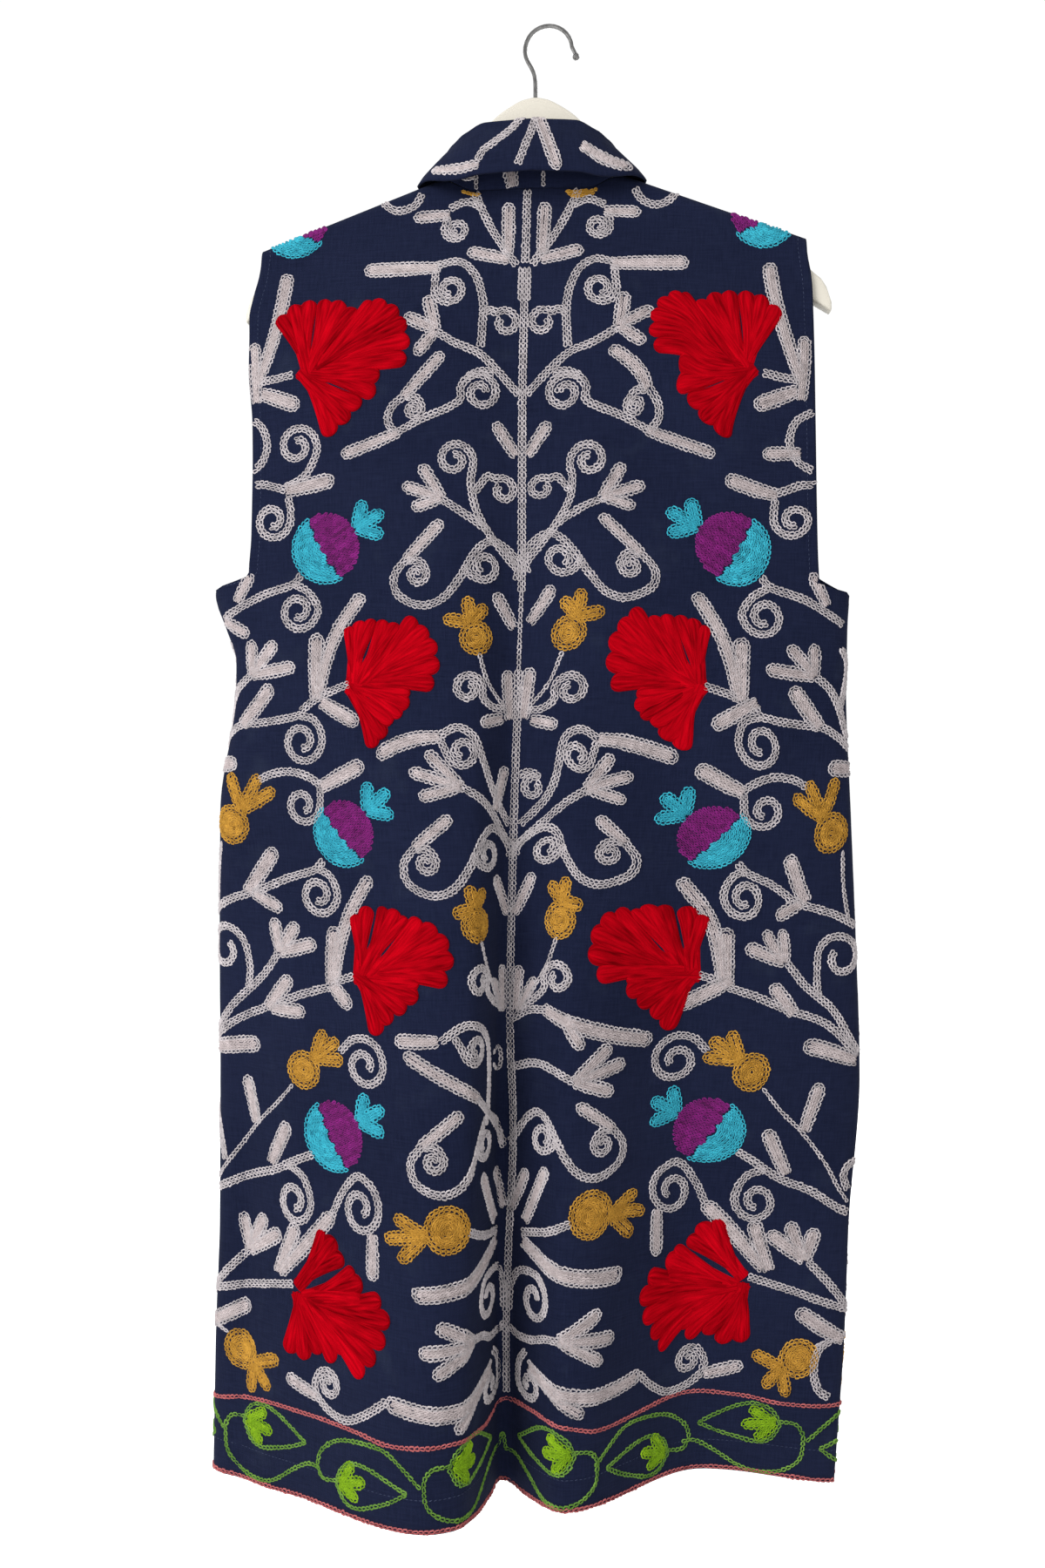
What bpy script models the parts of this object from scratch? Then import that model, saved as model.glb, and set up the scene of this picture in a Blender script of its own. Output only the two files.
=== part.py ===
"""Long sleeveless embroidered vest hanging on a flat hanger.

Metres, +Z up. The origin is the inside of the hook's crown, where a peg carries it.
The back of the vest faces -Y, its open fronts face +Y, and +X is the viewer's right
from behind. Each panel is a wall cut out of one draped tube, which is worked out from
the widths, depths and folds in the tables below.
"""
import math
from collections import namedtuple

import bmesh
import bpy
import numpy as np

# ---- cloth -----------------------------------------------------------------------------
CLOTH = 0.0016             # wall of the quilted-weight cotton with its stitching
SEAM_GAP = 0.0003          # pieces stand this far apart at a seam
CENTRE_X = -0.013          # middle of the shoulders, from the hook's crown
SEAM_PLANE_Y = 0.008       # the side seams hang a little towards the fronts
HEM_Z = -1.092

# ---- shoulders, neck, armholes -----------------------------------------------------------
SHOULDER_TIP_R = 0.205     # half the shoulder width
RIDGE_R = 0.083            # the collar's fall meets the shoulder here
RIDGE_Z = -0.119
RIDGE_SLOPE = 0.374        # drop of the shoulder for each unit outwards
RIDGE_CAP = 0.0086         # radius of the cloth where it turns over the hanger
DRAPE_LENGTH = 0.115       # below the ridge the cloth leaves the hanger over this length
NECK_POINT = 0.35          # neck point, as a share of the half shoulder width
BACK_NECK_Z = -0.126
BACK_NECK_FLAT = 0.20      # flat middle of the back neck, as a share of the half shoulder
FRONT_NECK_Z = -0.205      # where the front neck meets the front edge
FRONT_EDGE_TOP_R = 0.036   # half the gap between the fronts, at the neck and at the hem
FRONT_EDGE_HEM_R = 0.030
ARMHOLE_TURN_Z = -0.408    # the armhole starts to turn towards the side seam
UNDERARM_Z = -0.4285

# ---- hanger and hook -----------------------------------------------------------------------
BOARD_THICKNESS = 0.012
BOARD_SINK = 0.0026        # top of the board below the outside of the shoulder ridge
STEM_X = -0.010
WIRE_RADIUS = 0.0016
CROOK_RADIUS = 0.0179      # middle of the wire
BALL_RADIUS = 0.0027
HOLE_RADIUS = WIRE_RADIUS + SEAM_GAP
HOLE_DEPTH = 0.022

# A row for each height: how wide the tube is, and where the middle of the back runs.
Section = namedtuple("Section", "z left right middle")
SECTIONS = (
    Section(-0.060, -0.238, 0.214, -0.0140),
    Section(-0.165, -0.240, 0.216, -0.0160),
    Section(-0.300, -0.245, 0.220, -0.0185),
    Section(-0.427, -0.2525, 0.2255, -0.0190),
    Section(-0.455, -0.2450, 0.2240, -0.0200),
    Section(-0.499, -0.2415, 0.2230, -0.0215),
    Section(-0.592, -0.2530, 0.2265, -0.0250),
    Section(-0.692, -0.2535, 0.2305, -0.0280),
    Section(-0.790, -0.2530, 0.2335, -0.0300),
    Section(-0.902, -0.2535, 0.2255, -0.0305),
    Section(-0.988, -0.2565, 0.2225, -0.0310),
    Section(-1.092, -0.2585, 0.2150, -0.0310),
)

# A row for each fold: where its crest or hollow runs, across (x) and through (y).
FOLD_HEIGHTS = (-0.165, -0.450, -0.700, -0.900, -1.092)
Fold = namedtuple("Fold", "name across through")
BACK_FOLDS = (
    Fold("left side", (-0.215, -0.220, -0.225, -0.230, -0.235), (-0.024, -0.026, -0.026, -0.024, -0.024)),
    Fold("left flat", (-0.150, -0.158, -0.166, -0.175, -0.180), (-0.024, -0.036, -0.044, -0.047, -0.050)),
    Fold("left crest", (-0.080, -0.078, -0.074, -0.078, -0.084), (-0.024, -0.043, -0.068, -0.082, -0.091)),
    Fold("left brink", (-0.055, -0.052, -0.052, -0.056, -0.060), (-0.024, -0.040, -0.063, -0.076, -0.083)),
    Fold("middle hollow", (-0.018, -0.021, -0.028, -0.031, -0.031), (-0.024, -0.026, -0.020, -0.015, -0.012)),
    Fold("right crest", (0.040, 0.032, 0.020, 0.015, 0.013), (-0.024, -0.034, -0.044, -0.052, -0.057)),
    Fold("right hollow", (0.110, 0.110, 0.112, 0.115, 0.118), (-0.024, -0.028, -0.017, -0.003, 0.008)),
    Fold("right side", (0.195, 0.195, 0.200, 0.200, 0.200), (-0.024, -0.025, -0.020, -0.010, -0.003)),
)
FRONT_FOLDS = (
    Fold("left side", (-0.215, -0.220, -0.225, -0.230, -0.235), (0.026, 0.034, 0.036, 0.038, 0.040)),
    Fold("left pleat", (-0.150, -0.150, -0.152, -0.155, -0.158), (0.026, 0.040, 0.050, 0.060, 0.068)),
    Fold("left hollow", (-0.095, -0.095, -0.096, -0.098, -0.100), (0.026, 0.035, 0.034, 0.034, 0.034)),
    Fold("left edge", (-0.045, -0.045, -0.043, -0.043, -0.043), (0.026, 0.037, 0.044, 0.050, 0.054)),
    Fold("right edge", (0.020, 0.020, 0.018, 0.018, 0.018), (0.026, 0.037, 0.042, 0.046, 0.050)),
    Fold("right hollow", (0.072, 0.070, 0.072, 0.072, 0.072), (0.026, 0.034, 0.033, 0.032, 0.032)),
    Fold("right pleat", (0.128, 0.130, 0.132, 0.132, 0.130), (0.026, 0.041, 0.052, 0.060, 0.066)),
    Fold("right side", (0.195, 0.195, 0.200, 0.200, 0.196), (0.026, 0.034, 0.038, 0.040, 0.040)),
)

# A row for each height of the armhole: how far out the cloth is cut, from the middle.
ArmholeCut = namedtuple("ArmholeCut", "z out")
ARMHOLE = (
    ArmholeCut(-0.100, 0.2050),
    ArmholeCut(-0.165, 0.2050),
    ArmholeCut(-0.205, 0.2090),
    ArmholeCut(-0.300, 0.2105),
    ArmholeCut(-0.398, 0.2120),
    ArmholeCut(-0.430, 0.2135),
)

# A row for each place round the neck (0 back, 1 neck point, 2 front end): the collar's
# fold and its lower edge, outwards and upwards from the neck seam, and the way it faces.
CollarSection = namedtuple("CollarSection", "place fold_out fold_up edge_out edge_up facing")
COLLAR = (
    CollarSection(0.00, 0.008, 0.047, 0.023, 0.003, 0.0),
    CollarSection(0.45, 0.007, 0.0465, 0.023, 0.002, 10.0),
    CollarSection(0.65, 0.004, 0.040, 0.021, -0.001, 24.0),
    CollarSection(0.80, -0.001, 0.030, 0.019, -0.003, 45.0),
    CollarSection(1.00, -0.0055, 0.0165, 0.0155, -0.0035, 84.0),
    CollarSection(1.20, -0.008, 0.014, 0.017, -0.006, 96.0),
    CollarSection(1.60, -0.008, 0.015, 0.021, -0.015, 110.0),
    CollarSection(2.00, -0.006, 0.016, 0.024, -0.020, 112.0),
)
FOLD_RADIUS = 0.0032       # the collar turns over on this radius

# A row for each distance from the middle of the hanger: its upper and lower edge.
BoardSection = namedtuple("BoardSection", "out top bottom")
BOARD = (
    BoardSection(0.000, -0.0530, -0.126),
    BoardSection(0.008, -0.0540, -0.127),
    BoardSection(0.018, -0.0585, -0.129),
    BoardSection(0.030, -0.0655, -0.132),
    BoardSection(0.040, -0.0755, -0.136),
    BoardSection(0.050, -0.0950, -0.141),
)
BOARD_ARM = 0.060          # from here the arm follows the shoulder
BOARD_OFFSET = STEM_X - CENTRE_X    # the vest's middle hangs this far to the left of the board's
BOARD_ARM_DEPTH = (0.036, 0.046)    # depth of the arm where it leaves the crown, and at its end
BOARD_TIP = 0.226
BOARD_TIP_START = 0.196    # the arm starts to round off
BOARD_TIP_Z = -0.2000

# ---- how finely each shape is divided ------------------------------------------------------
NECK_SHARES = (0.0, 0.05, 0.10, 0.15, 0.20, 0.25, 0.30, 0.33, 0.345, NECK_POINT)
SIDE_SHARES = (0.40, 0.45, 0.50, 0.55, 0.60, 0.65, 0.70, 0.75, 0.80, 0.85, 0.90, 0.94, 0.975, 1.0)
HALF_SHARES = NECK_SHARES + SIDE_SHARES
RIDGE_ANGLES = (2.0, 30.0, 60.0, 90.0)   # rows round the top of the shoulder, degrees
NECK_DROPS = (0.0, 0.15, 0.5, 1.0)       # the same rows below the neck seam, in ridge radii
UPPER_ROWS = (0.07, 0.17, 0.30, 0.45, 0.61, 0.77, 0.90)
UNDERARM_ROWS = (-0.398, -0.413, -0.421, -0.4263, -0.4285)
LOWER_ROWS = 17
FRONT_COLUMNS = (0.0, 0.035, 0.075, 0.12, 0.165, 0.195, 0.207, 0.26, 0.33, 0.41, 0.50, 0.59, 0.68,
                 0.77, 0.86, 0.93, 0.97, 1.0)
PLAN_SAMPLES = 601
ROUND_POINTS = 7
WIRE_SIDES = 10


def curve_through(xs, ys, at):
    """Smooth curve through a table's points that never overshoots them."""
    xs = np.asarray(xs, float)
    ys = np.asarray(ys, float)
    order = np.argsort(xs)
    xs = xs[order]
    ys = ys[order]
    step = np.diff(xs)
    slope = np.diff(ys) / step
    tangent = np.zeros_like(ys)
    same_way = slope[:-1] * slope[1:] > 0.0
    weight_a = 2.0 * step[1:] + step[:-1]
    weight_b = step[1:] + 2.0 * step[:-1]
    safe_a = np.where(same_way, slope[:-1], 1.0)
    safe_b = np.where(same_way, slope[1:], 1.0)
    harmonic = (weight_a + weight_b) / (weight_a / safe_a + weight_b / safe_b)
    tangent[1:-1] = np.where(same_way, harmonic, 0.0)
    tangent[0] = slope[0]
    tangent[-1] = slope[-1]
    at = np.clip(np.asarray(at, float), xs[0], xs[-1])
    k = np.clip(np.searchsorted(xs, at) - 1, 0, len(xs) - 2)
    t = (at - xs[k]) / step[k]
    start = (1 + 2 * t) * (1 - t) ** 2 * ys[k] + t * (1 - t) ** 2 * step[k] * tangent[k]
    end = t * t * (3 - 2 * t) * ys[k + 1] + t * t * (t - 1) * step[k] * tangent[k + 1]
    return start + end


def ease(t):
    """0 to 1 with a soft start and end."""
    t = np.clip(t, 0.0, 1.0)
    return t * t * (3.0 - 2.0 * t)


def section_value(column, z):
    """One column of the section table at a height."""
    return float(curve_through([s.z for s in SECTIONS], [getattr(s, column) for s in SECTIONS], z))


def ridge_z(out):
    """Height of the shoulder's ridge, a distance out from the middle."""
    return RIDGE_Z - RIDGE_SLOPE * (out - RIDGE_R)


def fold_profile(folds, z, x):
    """How far through the folds put the cloth, across one height."""
    across = []
    through = []
    for fold in folds:
        across.append(float(curve_through(FOLD_HEIGHTS, fold.across, z)))
        through.append(float(curve_through(FOLD_HEIGHTS, fold.through, z)))
    return curve_through(across, through, x)


class Plan:
    """The tube's outline at one height, for the back (side -1) or the fronts (side 1)."""

    SQUARENESS = 3.4       # 2 is an ellipse; more is flatter with tighter sides

    def __init__(self, z, side):
        left = section_value("left", z)
        right = section_value("right", z)
        sweep = np.linspace(-1.0, 1.0, PLAN_SAMPLES)
        q = np.sin(sweep * math.pi / 2.0)
        self.x = (left + right) / 2.0 + q * (right - left) / 2.0
        roundness = np.maximum(1.0 - np.abs(q) ** self.SQUARENESS, 0.0) ** (1.0 / self.SQUARENESS)
        folds = BACK_FOLDS if side < 0 else FRONT_FOLDS
        hanging = SEAM_PLANE_Y + (fold_profile(folds, z, self.x) - SEAM_PLANE_Y) * roundness
        below = ridge_z(np.abs(self.x - CENTRE_X)) - z
        lean = ease(below / DRAPE_LENGTH)
        lift = np.clip(1.0 - below / RIDGE_CAP, 0.0, 1.0)
        cap = side * RIDGE_CAP * np.sqrt(1.0 - lift ** 2)
        self.y = cap * (1.0 - lean) + hanging * lean
        self.z = z
        run = np.hypot(np.diff(self.x), np.diff(self.y))
        self.along = np.concatenate(([0.0], np.cumsum(run)))

    def length_at(self, x):
        """Length of cloth from the left seam to a place across."""
        return float(np.interp(x, self.x, self.along))

    def point(self, length):
        """Place on the tube, a length of cloth from the left seam."""
        length = np.clip(length, 0.0, self.along[-1])
        return (float(np.interp(length, self.along, self.x)),
                float(np.interp(length, self.along, self.y)), self.z)


PLANS = {}


def plan(z, side):
    """The tube's outline at a height, worked out once."""
    key = (round(z, 7), side)
    if key not in PLANS:
        PLANS[key] = Plan(z, side)
    return PLANS[key]


def armhole_length(z, side, hand):
    """Length of cloth from the left seam to the armhole's cut, or to the side seam below it."""
    outline = plan(z, side)
    seam = SEAM_GAP / 2.0 if hand < 0 else outline.along[-1] - SEAM_GAP / 2.0
    if z <= UNDERARM_Z:
        return seam
    out = float(curve_through([c.z for c in ARMHOLE], [c.out for c in ARMHOLE], z))
    cut = outline.length_at(CENTRE_X + hand * out)
    turn = max(0.0, (ARMHOLE_TURN_Z - z) / (ARMHOLE_TURN_Z - UNDERARM_Z))
    return cut + (seam - cut) * (1.0 - math.sqrt(1.0 - min(turn, 1.0) ** 2))


def back_top_z(out):
    """Upper cut of the back: the neck curve, then the shoulder's ridge."""
    share = out / SHOULDER_TIP_R
    if share >= NECK_POINT:
        return ridge_z(out)
    rise = ease(max(0.0, (share - BACK_NECK_FLAT) / (NECK_POINT - BACK_NECK_FLAT)))
    return BACK_NECK_Z + (ridge_z(NECK_POINT * SHOULDER_TIP_R) - BACK_NECK_Z) * rise


def front_edge_out(z):
    """Half the gap between the fronts at a height."""
    share = (z - FRONT_NECK_Z) / (HEM_Z - FRONT_NECK_Z)
    return FRONT_EDGE_TOP_R + (FRONT_EDGE_HEM_R - FRONT_EDGE_TOP_R) * min(max(share, 0.0), 1.0)


def front_top_z(out):
    """Upper cut of a front: the neck curve down to the front edge, then the shoulder's ridge."""
    neck_point = NECK_POINT * SHOULDER_TIP_R
    if out >= neck_point:
        return ridge_z(out)
    share = max(0.0, (neck_point - out) / (neck_point - FRONT_EDGE_TOP_R))
    return ridge_z(neck_point) + (FRONT_NECK_Z - ridge_z(neck_point)) * share ** 1.35


def panel_rows(top_z, on_ridge):
    """Heights of a column's points, from its upper cut to the hem."""
    heights = []
    if on_ridge:
        for angle in RIDGE_ANGLES:
            heights.append(top_z - RIDGE_CAP * (1.0 - math.cos(math.radians(angle))))
    else:
        for drop in NECK_DROPS:
            heights.append(top_z - RIDGE_CAP * drop)
    start = heights[-1]
    for share in UPPER_ROWS:
        heights.append(start + (UNDERARM_ROWS[0] - start) * share)
    heights += UNDERARM_ROWS
    for row in range(1, LOWER_ROWS + 1):
        heights.append(UNDERARM_Z + (HEM_Z - UNDERARM_Z) * row / LOWER_ROWS)
    return heights


def ridge_point(outline_x, angle, side):
    """Place on the rounded top of the shoulder."""
    turn = math.radians(angle)
    out = abs(outline_x - CENTRE_X)
    drop = RIDGE_CAP * (1.0 - math.cos(turn))
    return (outline_x, side * RIDGE_CAP * math.sin(turn), ridge_z(out) - drop)


def back_shares():
    """Columns of the back from its left edge to its right, as shares of its half width."""
    return [-share for share in reversed(HALF_SHARES[1:])] + list(HALF_SHARES)


def back_grid():
    """Outer points of the back, a list of rows from the upper cut to the hem."""
    columns = []
    for share in back_shares():
        hand = -1 if share < 0 else 1
        top_x = CENTRE_X + share * SHOULDER_TIP_R
        on_ridge = abs(share) >= NECK_POINT - 1e-9
        column = []
        for row, z in enumerate(panel_rows(back_top_z(abs(share) * SHOULDER_TIP_R), on_ridge)):
            if on_ridge and row < len(RIDGE_ANGLES):
                column.append(ridge_point(top_x, RIDGE_ANGLES[row], -1))
                continue
            outline = plan(z, -1)
            middle = outline.length_at(section_value("middle", z))
            edge = armhole_length(z, -1, hand)
            even = middle + (edge - middle) * abs(share)
            straight = outline.length_at(top_x)
            settle = ease((back_top_z(abs(share) * SHOULDER_TIP_R) - z) / DRAPE_LENGTH)
            column.append(outline.point(straight + (even - straight) * settle))
        columns.append(column)
    return [list(row) for row in zip(*columns)]


def front_grid(hand):
    """Outer points of one front, rows from the upper cut to the hem, front edge to side seam."""
    columns = []
    for share in FRONT_COLUMNS:
        top_out = FRONT_EDGE_TOP_R + share * (SHOULDER_TIP_R - FRONT_EDGE_TOP_R)
        top_x = CENTRE_X + hand * top_out
        on_ridge = top_out >= NECK_POINT * SHOULDER_TIP_R
        column = []
        for row, z in enumerate(panel_rows(front_top_z(top_out), on_ridge)):
            if on_ridge and row < len(RIDGE_ANGLES):
                column.append(ridge_point(top_x, RIDGE_ANGLES[row], 1))
                continue
            outline = plan(z, 1)
            edge = outline.length_at(CENTRE_X + hand * front_edge_out(z))
            side_cut = armhole_length(z, 1, hand)
            even = edge + (side_cut - edge) * share
            straight = outline.length_at(top_x)
            settle = ease((front_top_z(top_out) - z) / DRAPE_LENGTH)
            column.append(outline.point(straight + (even - straight) * settle))
        columns.append(column)
    return [list(row) for row in zip(*columns)]


def outward_normals(points, ghost):
    """Unit normals of a grid of points; ghost is a row that stands before the first one."""
    before = np.concatenate((ghost[None], points[:-1]))
    after = np.concatenate((points[1:], points[-1:]))
    down = after - before
    across = np.gradient(points, axis=1)
    normal = np.cross(across, down)
    return normal / np.linalg.norm(normal, axis=2, keepdims=True)


def ghost_row(points):
    """Row that carries a panel on past its upper cut: over the ridge, or straight up."""
    ghost = 2.0 * points[0] - points[1]
    over = np.abs(points[0, :, 1]) < RIDGE_CAP / 2.0
    ghost[over] = points[1, over] * (1.0, -1.0, 1.0)
    return ghost


def wall_mesh(name, outer, inner):
    """Closed wall between two grids of the same size."""
    rows, columns = outer.shape[:2]
    mesh = bmesh.new()
    front = [[mesh.verts.new(p) for p in row] for row in outer]
    back = [[mesh.verts.new(p) for p in row] for row in inner]
    for r in range(rows - 1):
        for c in range(columns - 1):
            mesh.faces.new((front[r][c], front[r + 1][c], front[r + 1][c + 1], front[r][c + 1]))
            mesh.faces.new((back[r][c], back[r][c + 1], back[r + 1][c + 1], back[r + 1][c]))
    rim = [(0, c) for c in range(columns)]
    rim += [(r, columns - 1) for r in range(1, rows)]
    rim += [(rows - 1, c) for c in range(columns - 2, -1, -1)]
    rim += [(r, 0) for r in range(rows - 2, 0, -1)]
    for (r0, c0), (r1, c1) in zip(rim, rim[1:] + rim[:1]):
        mesh.faces.new((front[r0][c0], front[r1][c1], back[r1][c1], back[r0][c0]))
    return finish_mesh(name, mesh)


def finish_mesh(name, mesh):
    """Turn a bmesh into an object with faces out and soft shading."""
    bmesh.ops.recalc_face_normals(mesh, faces=mesh.faces)
    if mesh.calc_volume(signed=True) < 0.0:
        bmesh.ops.reverse_faces(mesh, faces=mesh.faces)
    data = bpy.data.meshes.new(name)
    mesh.to_mesh(data)
    mesh.free()
    data.shade_smooth()
    data.set_sharp_from_angle(angle=math.radians(50.0))
    thing = bpy.data.objects.new(name, data)
    bpy.context.scene.collection.objects.link(thing)
    return thing


def plain_finish(thing, name, colour, roughness, metallic=0.0):
    """Give a piece its own Principled material."""
    material = bpy.data.materials.new(name)
    material.use_nodes = True
    shader = material.node_tree.nodes["Principled BSDF"]
    shader.inputs["Base Color"].default_value = (*colour, 1.0)
    shader.inputs["Roughness"].default_value = roughness
    shader.inputs["Metallic"].default_value = metallic
    thing.data.materials.append(material)


def cloth_panel(name, grid, facing):
    """Wall whose outside is the grid and whose inside is the grid moved in by the cloth."""
    outer = np.array(grid)
    normal = outward_normals(outer, ghost_row(outer))
    if np.mean(normal[-1, :, 1]) * facing < 0.0:
        normal = -normal
    at_seam = np.abs(outer[..., 1] - SEAM_PLANE_Y) < SEAM_GAP
    at_seam &= outer[..., 2] <= UNDERARM_Z
    normal[at_seam] = np.sign(outer[at_seam, 0] - CENTRE_X)[:, None] * (1.0, 0.0, 0.0)
    return wall_mesh(name, outer, outer - normal * CLOTH)


def neck_edge(back, fronts):
    """Points of the neck seam from the left front end, round the back, to the right front end."""
    columns = len(FRONT_COLUMNS)
    front_share = [(FRONT_EDGE_TOP_R + s * (SHOULDER_TIP_R - FRONT_EDGE_TOP_R)) for s in FRONT_COLUMNS]
    inside = [c for c in range(columns) if front_share[c] < NECK_POINT * SHOULDER_TIP_R]
    left = [(fronts[-1][0][c], 2.0 - front_place(front_share[c])) for c in inside]
    right = [(fronts[1][0][c], 2.0 - front_place(front_share[c])) for c in reversed(inside)]
    neck = []
    for share, point in zip(back_shares(), back[0]):
        if abs(share) <= NECK_POINT + 1e-9:
            neck.append((point, abs(share) / NECK_POINT))
    return left, neck, right


def front_place(out):
    """0 at the front end of the neck, 1 at the neck point."""
    neck_point = NECK_POINT * SHOULDER_TIP_R
    return (out - FRONT_EDGE_TOP_R) / (neck_point - FRONT_EDGE_TOP_R)


def collar_profile(row_value):
    """Middle line of the collar's cloth, outwards and upwards from the neck seam."""
    fold = np.array((row_value("fold_out"), row_value("fold_up")))
    edge = np.array((row_value("edge_out"), row_value("edge_up")))
    turn = FOLD_RADIUS
    foot = np.array((0.0, SEAM_GAP))
    stand_top = fold + (-turn, -turn)
    fall_top = fold + (turn, -turn)
    line = [foot + (stand_top - foot) * t for t in (0.0, 0.35, 0.7)]
    for step in range(ROUND_POINTS):
        angle = math.pi - math.pi * step / (ROUND_POINTS - 1)
        line.append(fold + (turn * math.cos(angle), turn * (math.sin(angle) - 1.0)))
    belly = 0.0022
    for t in (0.28, 0.62, 1.0):
        bulge = np.array((belly * 4.0 * t * (1.0 - t), 0.0))
        line.append(fall_top + (edge - fall_top) * t + bulge)
    return np.array(line)


def offset_line(line, distance):
    """Line moved sideways by a distance, to its left as it runs."""
    along = np.gradient(line, axis=0)
    along /= np.linalg.norm(along, axis=1, keepdims=True)
    return line + distance * np.stack((-along[:, 1], along[:, 0]), axis=1)


def build_collar(back, fronts):
    """Turned-down collar: stand and fall in one piece of cloth round the neck seam."""
    left, neck, right = neck_edge(back, fronts)
    path = [(p, place, -1) for p, place in left]
    path += [(p, place, -1 if p[0] < CENTRE_X else 1) for p, place in neck]
    path += [(p, place, 1) for p, place in right]
    places = [row.place for row in COLLAR]
    outer = []
    inner = []
    for point, place, hand in path:
        def row_value(column):
            return float(curve_through(places, [getattr(row, column) for row in COLLAR], place))
        facing = math.radians(row_value("facing"))
        out = np.array((hand * math.sin(facing), -math.cos(facing), 0.0))
        up = np.array((0.0, 0.0, 1.0))
        line = collar_profile(row_value)
        shift = CLOTH / 2.0
        base = np.array(point) - out * shift
        outside = offset_line(line, shift)
        inside = offset_line(line, -shift)
        outer.append([base + out * o + up * u for o, u in outside])
        inner.append([base + out * o + up * u for o, u in inside])
    return wall_mesh("collar", np.array(outer), np.array(inner))


def board_edges(out):
    """Upper and lower edge of the hanger, a distance out from its middle."""
    if out < BOARD_ARM:
        rows = list(BOARD)
        arm_top = ridge_z(BOARD_ARM + BOARD_OFFSET) - BOARD_SINK
        rows.append(BoardSection(BOARD_ARM, arm_top, arm_top - BOARD_ARM_DEPTH[0]))
        outs = [row.out for row in rows]
        return (float(curve_through(outs, [row.top for row in rows], out)),
                float(curve_through(outs, [row.bottom for row in rows], out)))
    share = (out - BOARD_ARM) / (BOARD_TIP - BOARD_ARM)
    depth = BOARD_ARM_DEPTH[0] + (BOARD_ARM_DEPTH[1] - BOARD_ARM_DEPTH[0]) * share
    top = ridge_z(out + BOARD_OFFSET) - BOARD_SINK
    bottom = top - depth
    if out > BOARD_TIP_START:
        reach = (out - BOARD_TIP_START) / (BOARD_TIP - BOARD_TIP_START)
        round_off = math.sqrt(max(0.0, 1.0 - reach ** 2))
        top = BOARD_TIP_Z + (top - BOARD_TIP_Z) * round_off
        bottom = BOARD_TIP_Z + (bottom - BOARD_TIP_Z) * round_off
    return top, bottom


def board_stations():
    """Distances out from the hanger's middle at which its section is worked out."""
    inner = [row.out for row in BOARD]
    arm = [BOARD_ARM, 0.10, 0.13, 0.165, BOARD_TIP_START]
    tip_run = BOARD_TIP - BOARD_TIP_START
    tip = [BOARD_TIP_START + tip_run * math.sin(math.radians(a)) for a in (20, 38, 54, 68, 79)]
    return inner + arm + tip


def build_hanger():
    """Flat board with a raised crown, sloping arms and rounded tips."""
    half = BOARD_THICKNESS / 2.0
    stations = board_stations()
    outs = [-o for o in reversed(stations[1:])] + stations
    mesh = bmesh.new()
    rings = []
    for out in outs:
        top, bottom = board_edges(abs(out))
        radius = min(half, (top - bottom) * 0.49)
        ring = []
        for step in range(ROUND_POINTS):
            angle = math.pi * step / (ROUND_POINTS - 1)
            ring.append((half * math.cos(angle), top - radius + radius * math.sin(angle)))
        for step in range(ROUND_POINTS):
            angle = math.pi + math.pi * step / (ROUND_POINTS - 1)
            ring.append((half * math.cos(angle), bottom + radius + radius * math.sin(angle)))
        rings.append([mesh.verts.new((STEM_X + out, y, z)) for y, z in ring])
    for first, second in zip(rings, rings[1:]):
        count = len(first)
        for k in range(count):
            mesh.faces.new((first[k], first[(k + 1) % count], second[(k + 1) % count], second[k]))
    mesh.faces.new(rings[0])
    mesh.faces.new(rings[-1])
    hanger = finish_mesh("hanger", mesh)
    drill = bmesh.new()
    top = BOARD[0].top
    bmesh.ops.create_cone(drill, cap_ends=True, segments=16, radius1=HOLE_RADIUS,
                          radius2=HOLE_RADIUS, depth=2.0 * HOLE_DEPTH)
    bmesh.ops.translate(drill, verts=drill.verts, vec=(STEM_X, 0.0, top))
    cutter = finish_mesh("hook_hole", drill)
    cutter.hide_render = True
    cutter.display_type = "WIRE"
    cut = hanger.modifiers.new("hook_hole", "BOOLEAN")
    cut.operation = "DIFFERENCE"
    cut.object = cutter
    return hanger


def hook_path():
    """Middle of the wire with its radius at each point, from the ball to the foot."""
    centre_z = -(CROOK_RADIUS - WIRE_RADIUS)
    path = []
    ball_angle = math.radians(-20.0)
    tip = np.array((CROOK_RADIUS * 1.16, centre_z + CROOK_RADIUS * math.sin(ball_angle)))
    inward = np.array((-0.18, 1.0))
    inward /= np.linalg.norm(inward)
    for step in range(7):
        angle = math.radians(8.0 + 23.0 * step)
        run = -BALL_RADIUS * math.cos(angle)
        path.append((*(tip + inward * run), BALL_RADIUS * math.sin(angle)))
    for degrees in range(4, 211, 12):
        angle = math.radians(degrees)
        path.append((CROOK_RADIUS * math.cos(angle), centre_z + CROOK_RADIUS * math.sin(angle),
                     WIRE_RADIUS))
    leave = np.array(path[-1][:2])
    heading = np.array((0.50, -0.866))
    foot_top = np.array((STEM_X, centre_z - 0.0285))
    reach = 0.010
    for t in (0.2, 0.4, 0.6, 0.8, 1.0):
        a, b, c, d = (1 - t) ** 3, 3 * t * (1 - t) ** 2, 3 * t * t * (1 - t), t ** 3
        spot = a * leave + b * (leave + heading * reach) + c * (foot_top + (0.0, reach)) + d * foot_top
        path.append((*spot, WIRE_RADIUS))
    foot_z = BOARD[0].top - HOLE_DEPTH + 0.001
    path.append((STEM_X, foot_z, WIRE_RADIUS))
    return path


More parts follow.
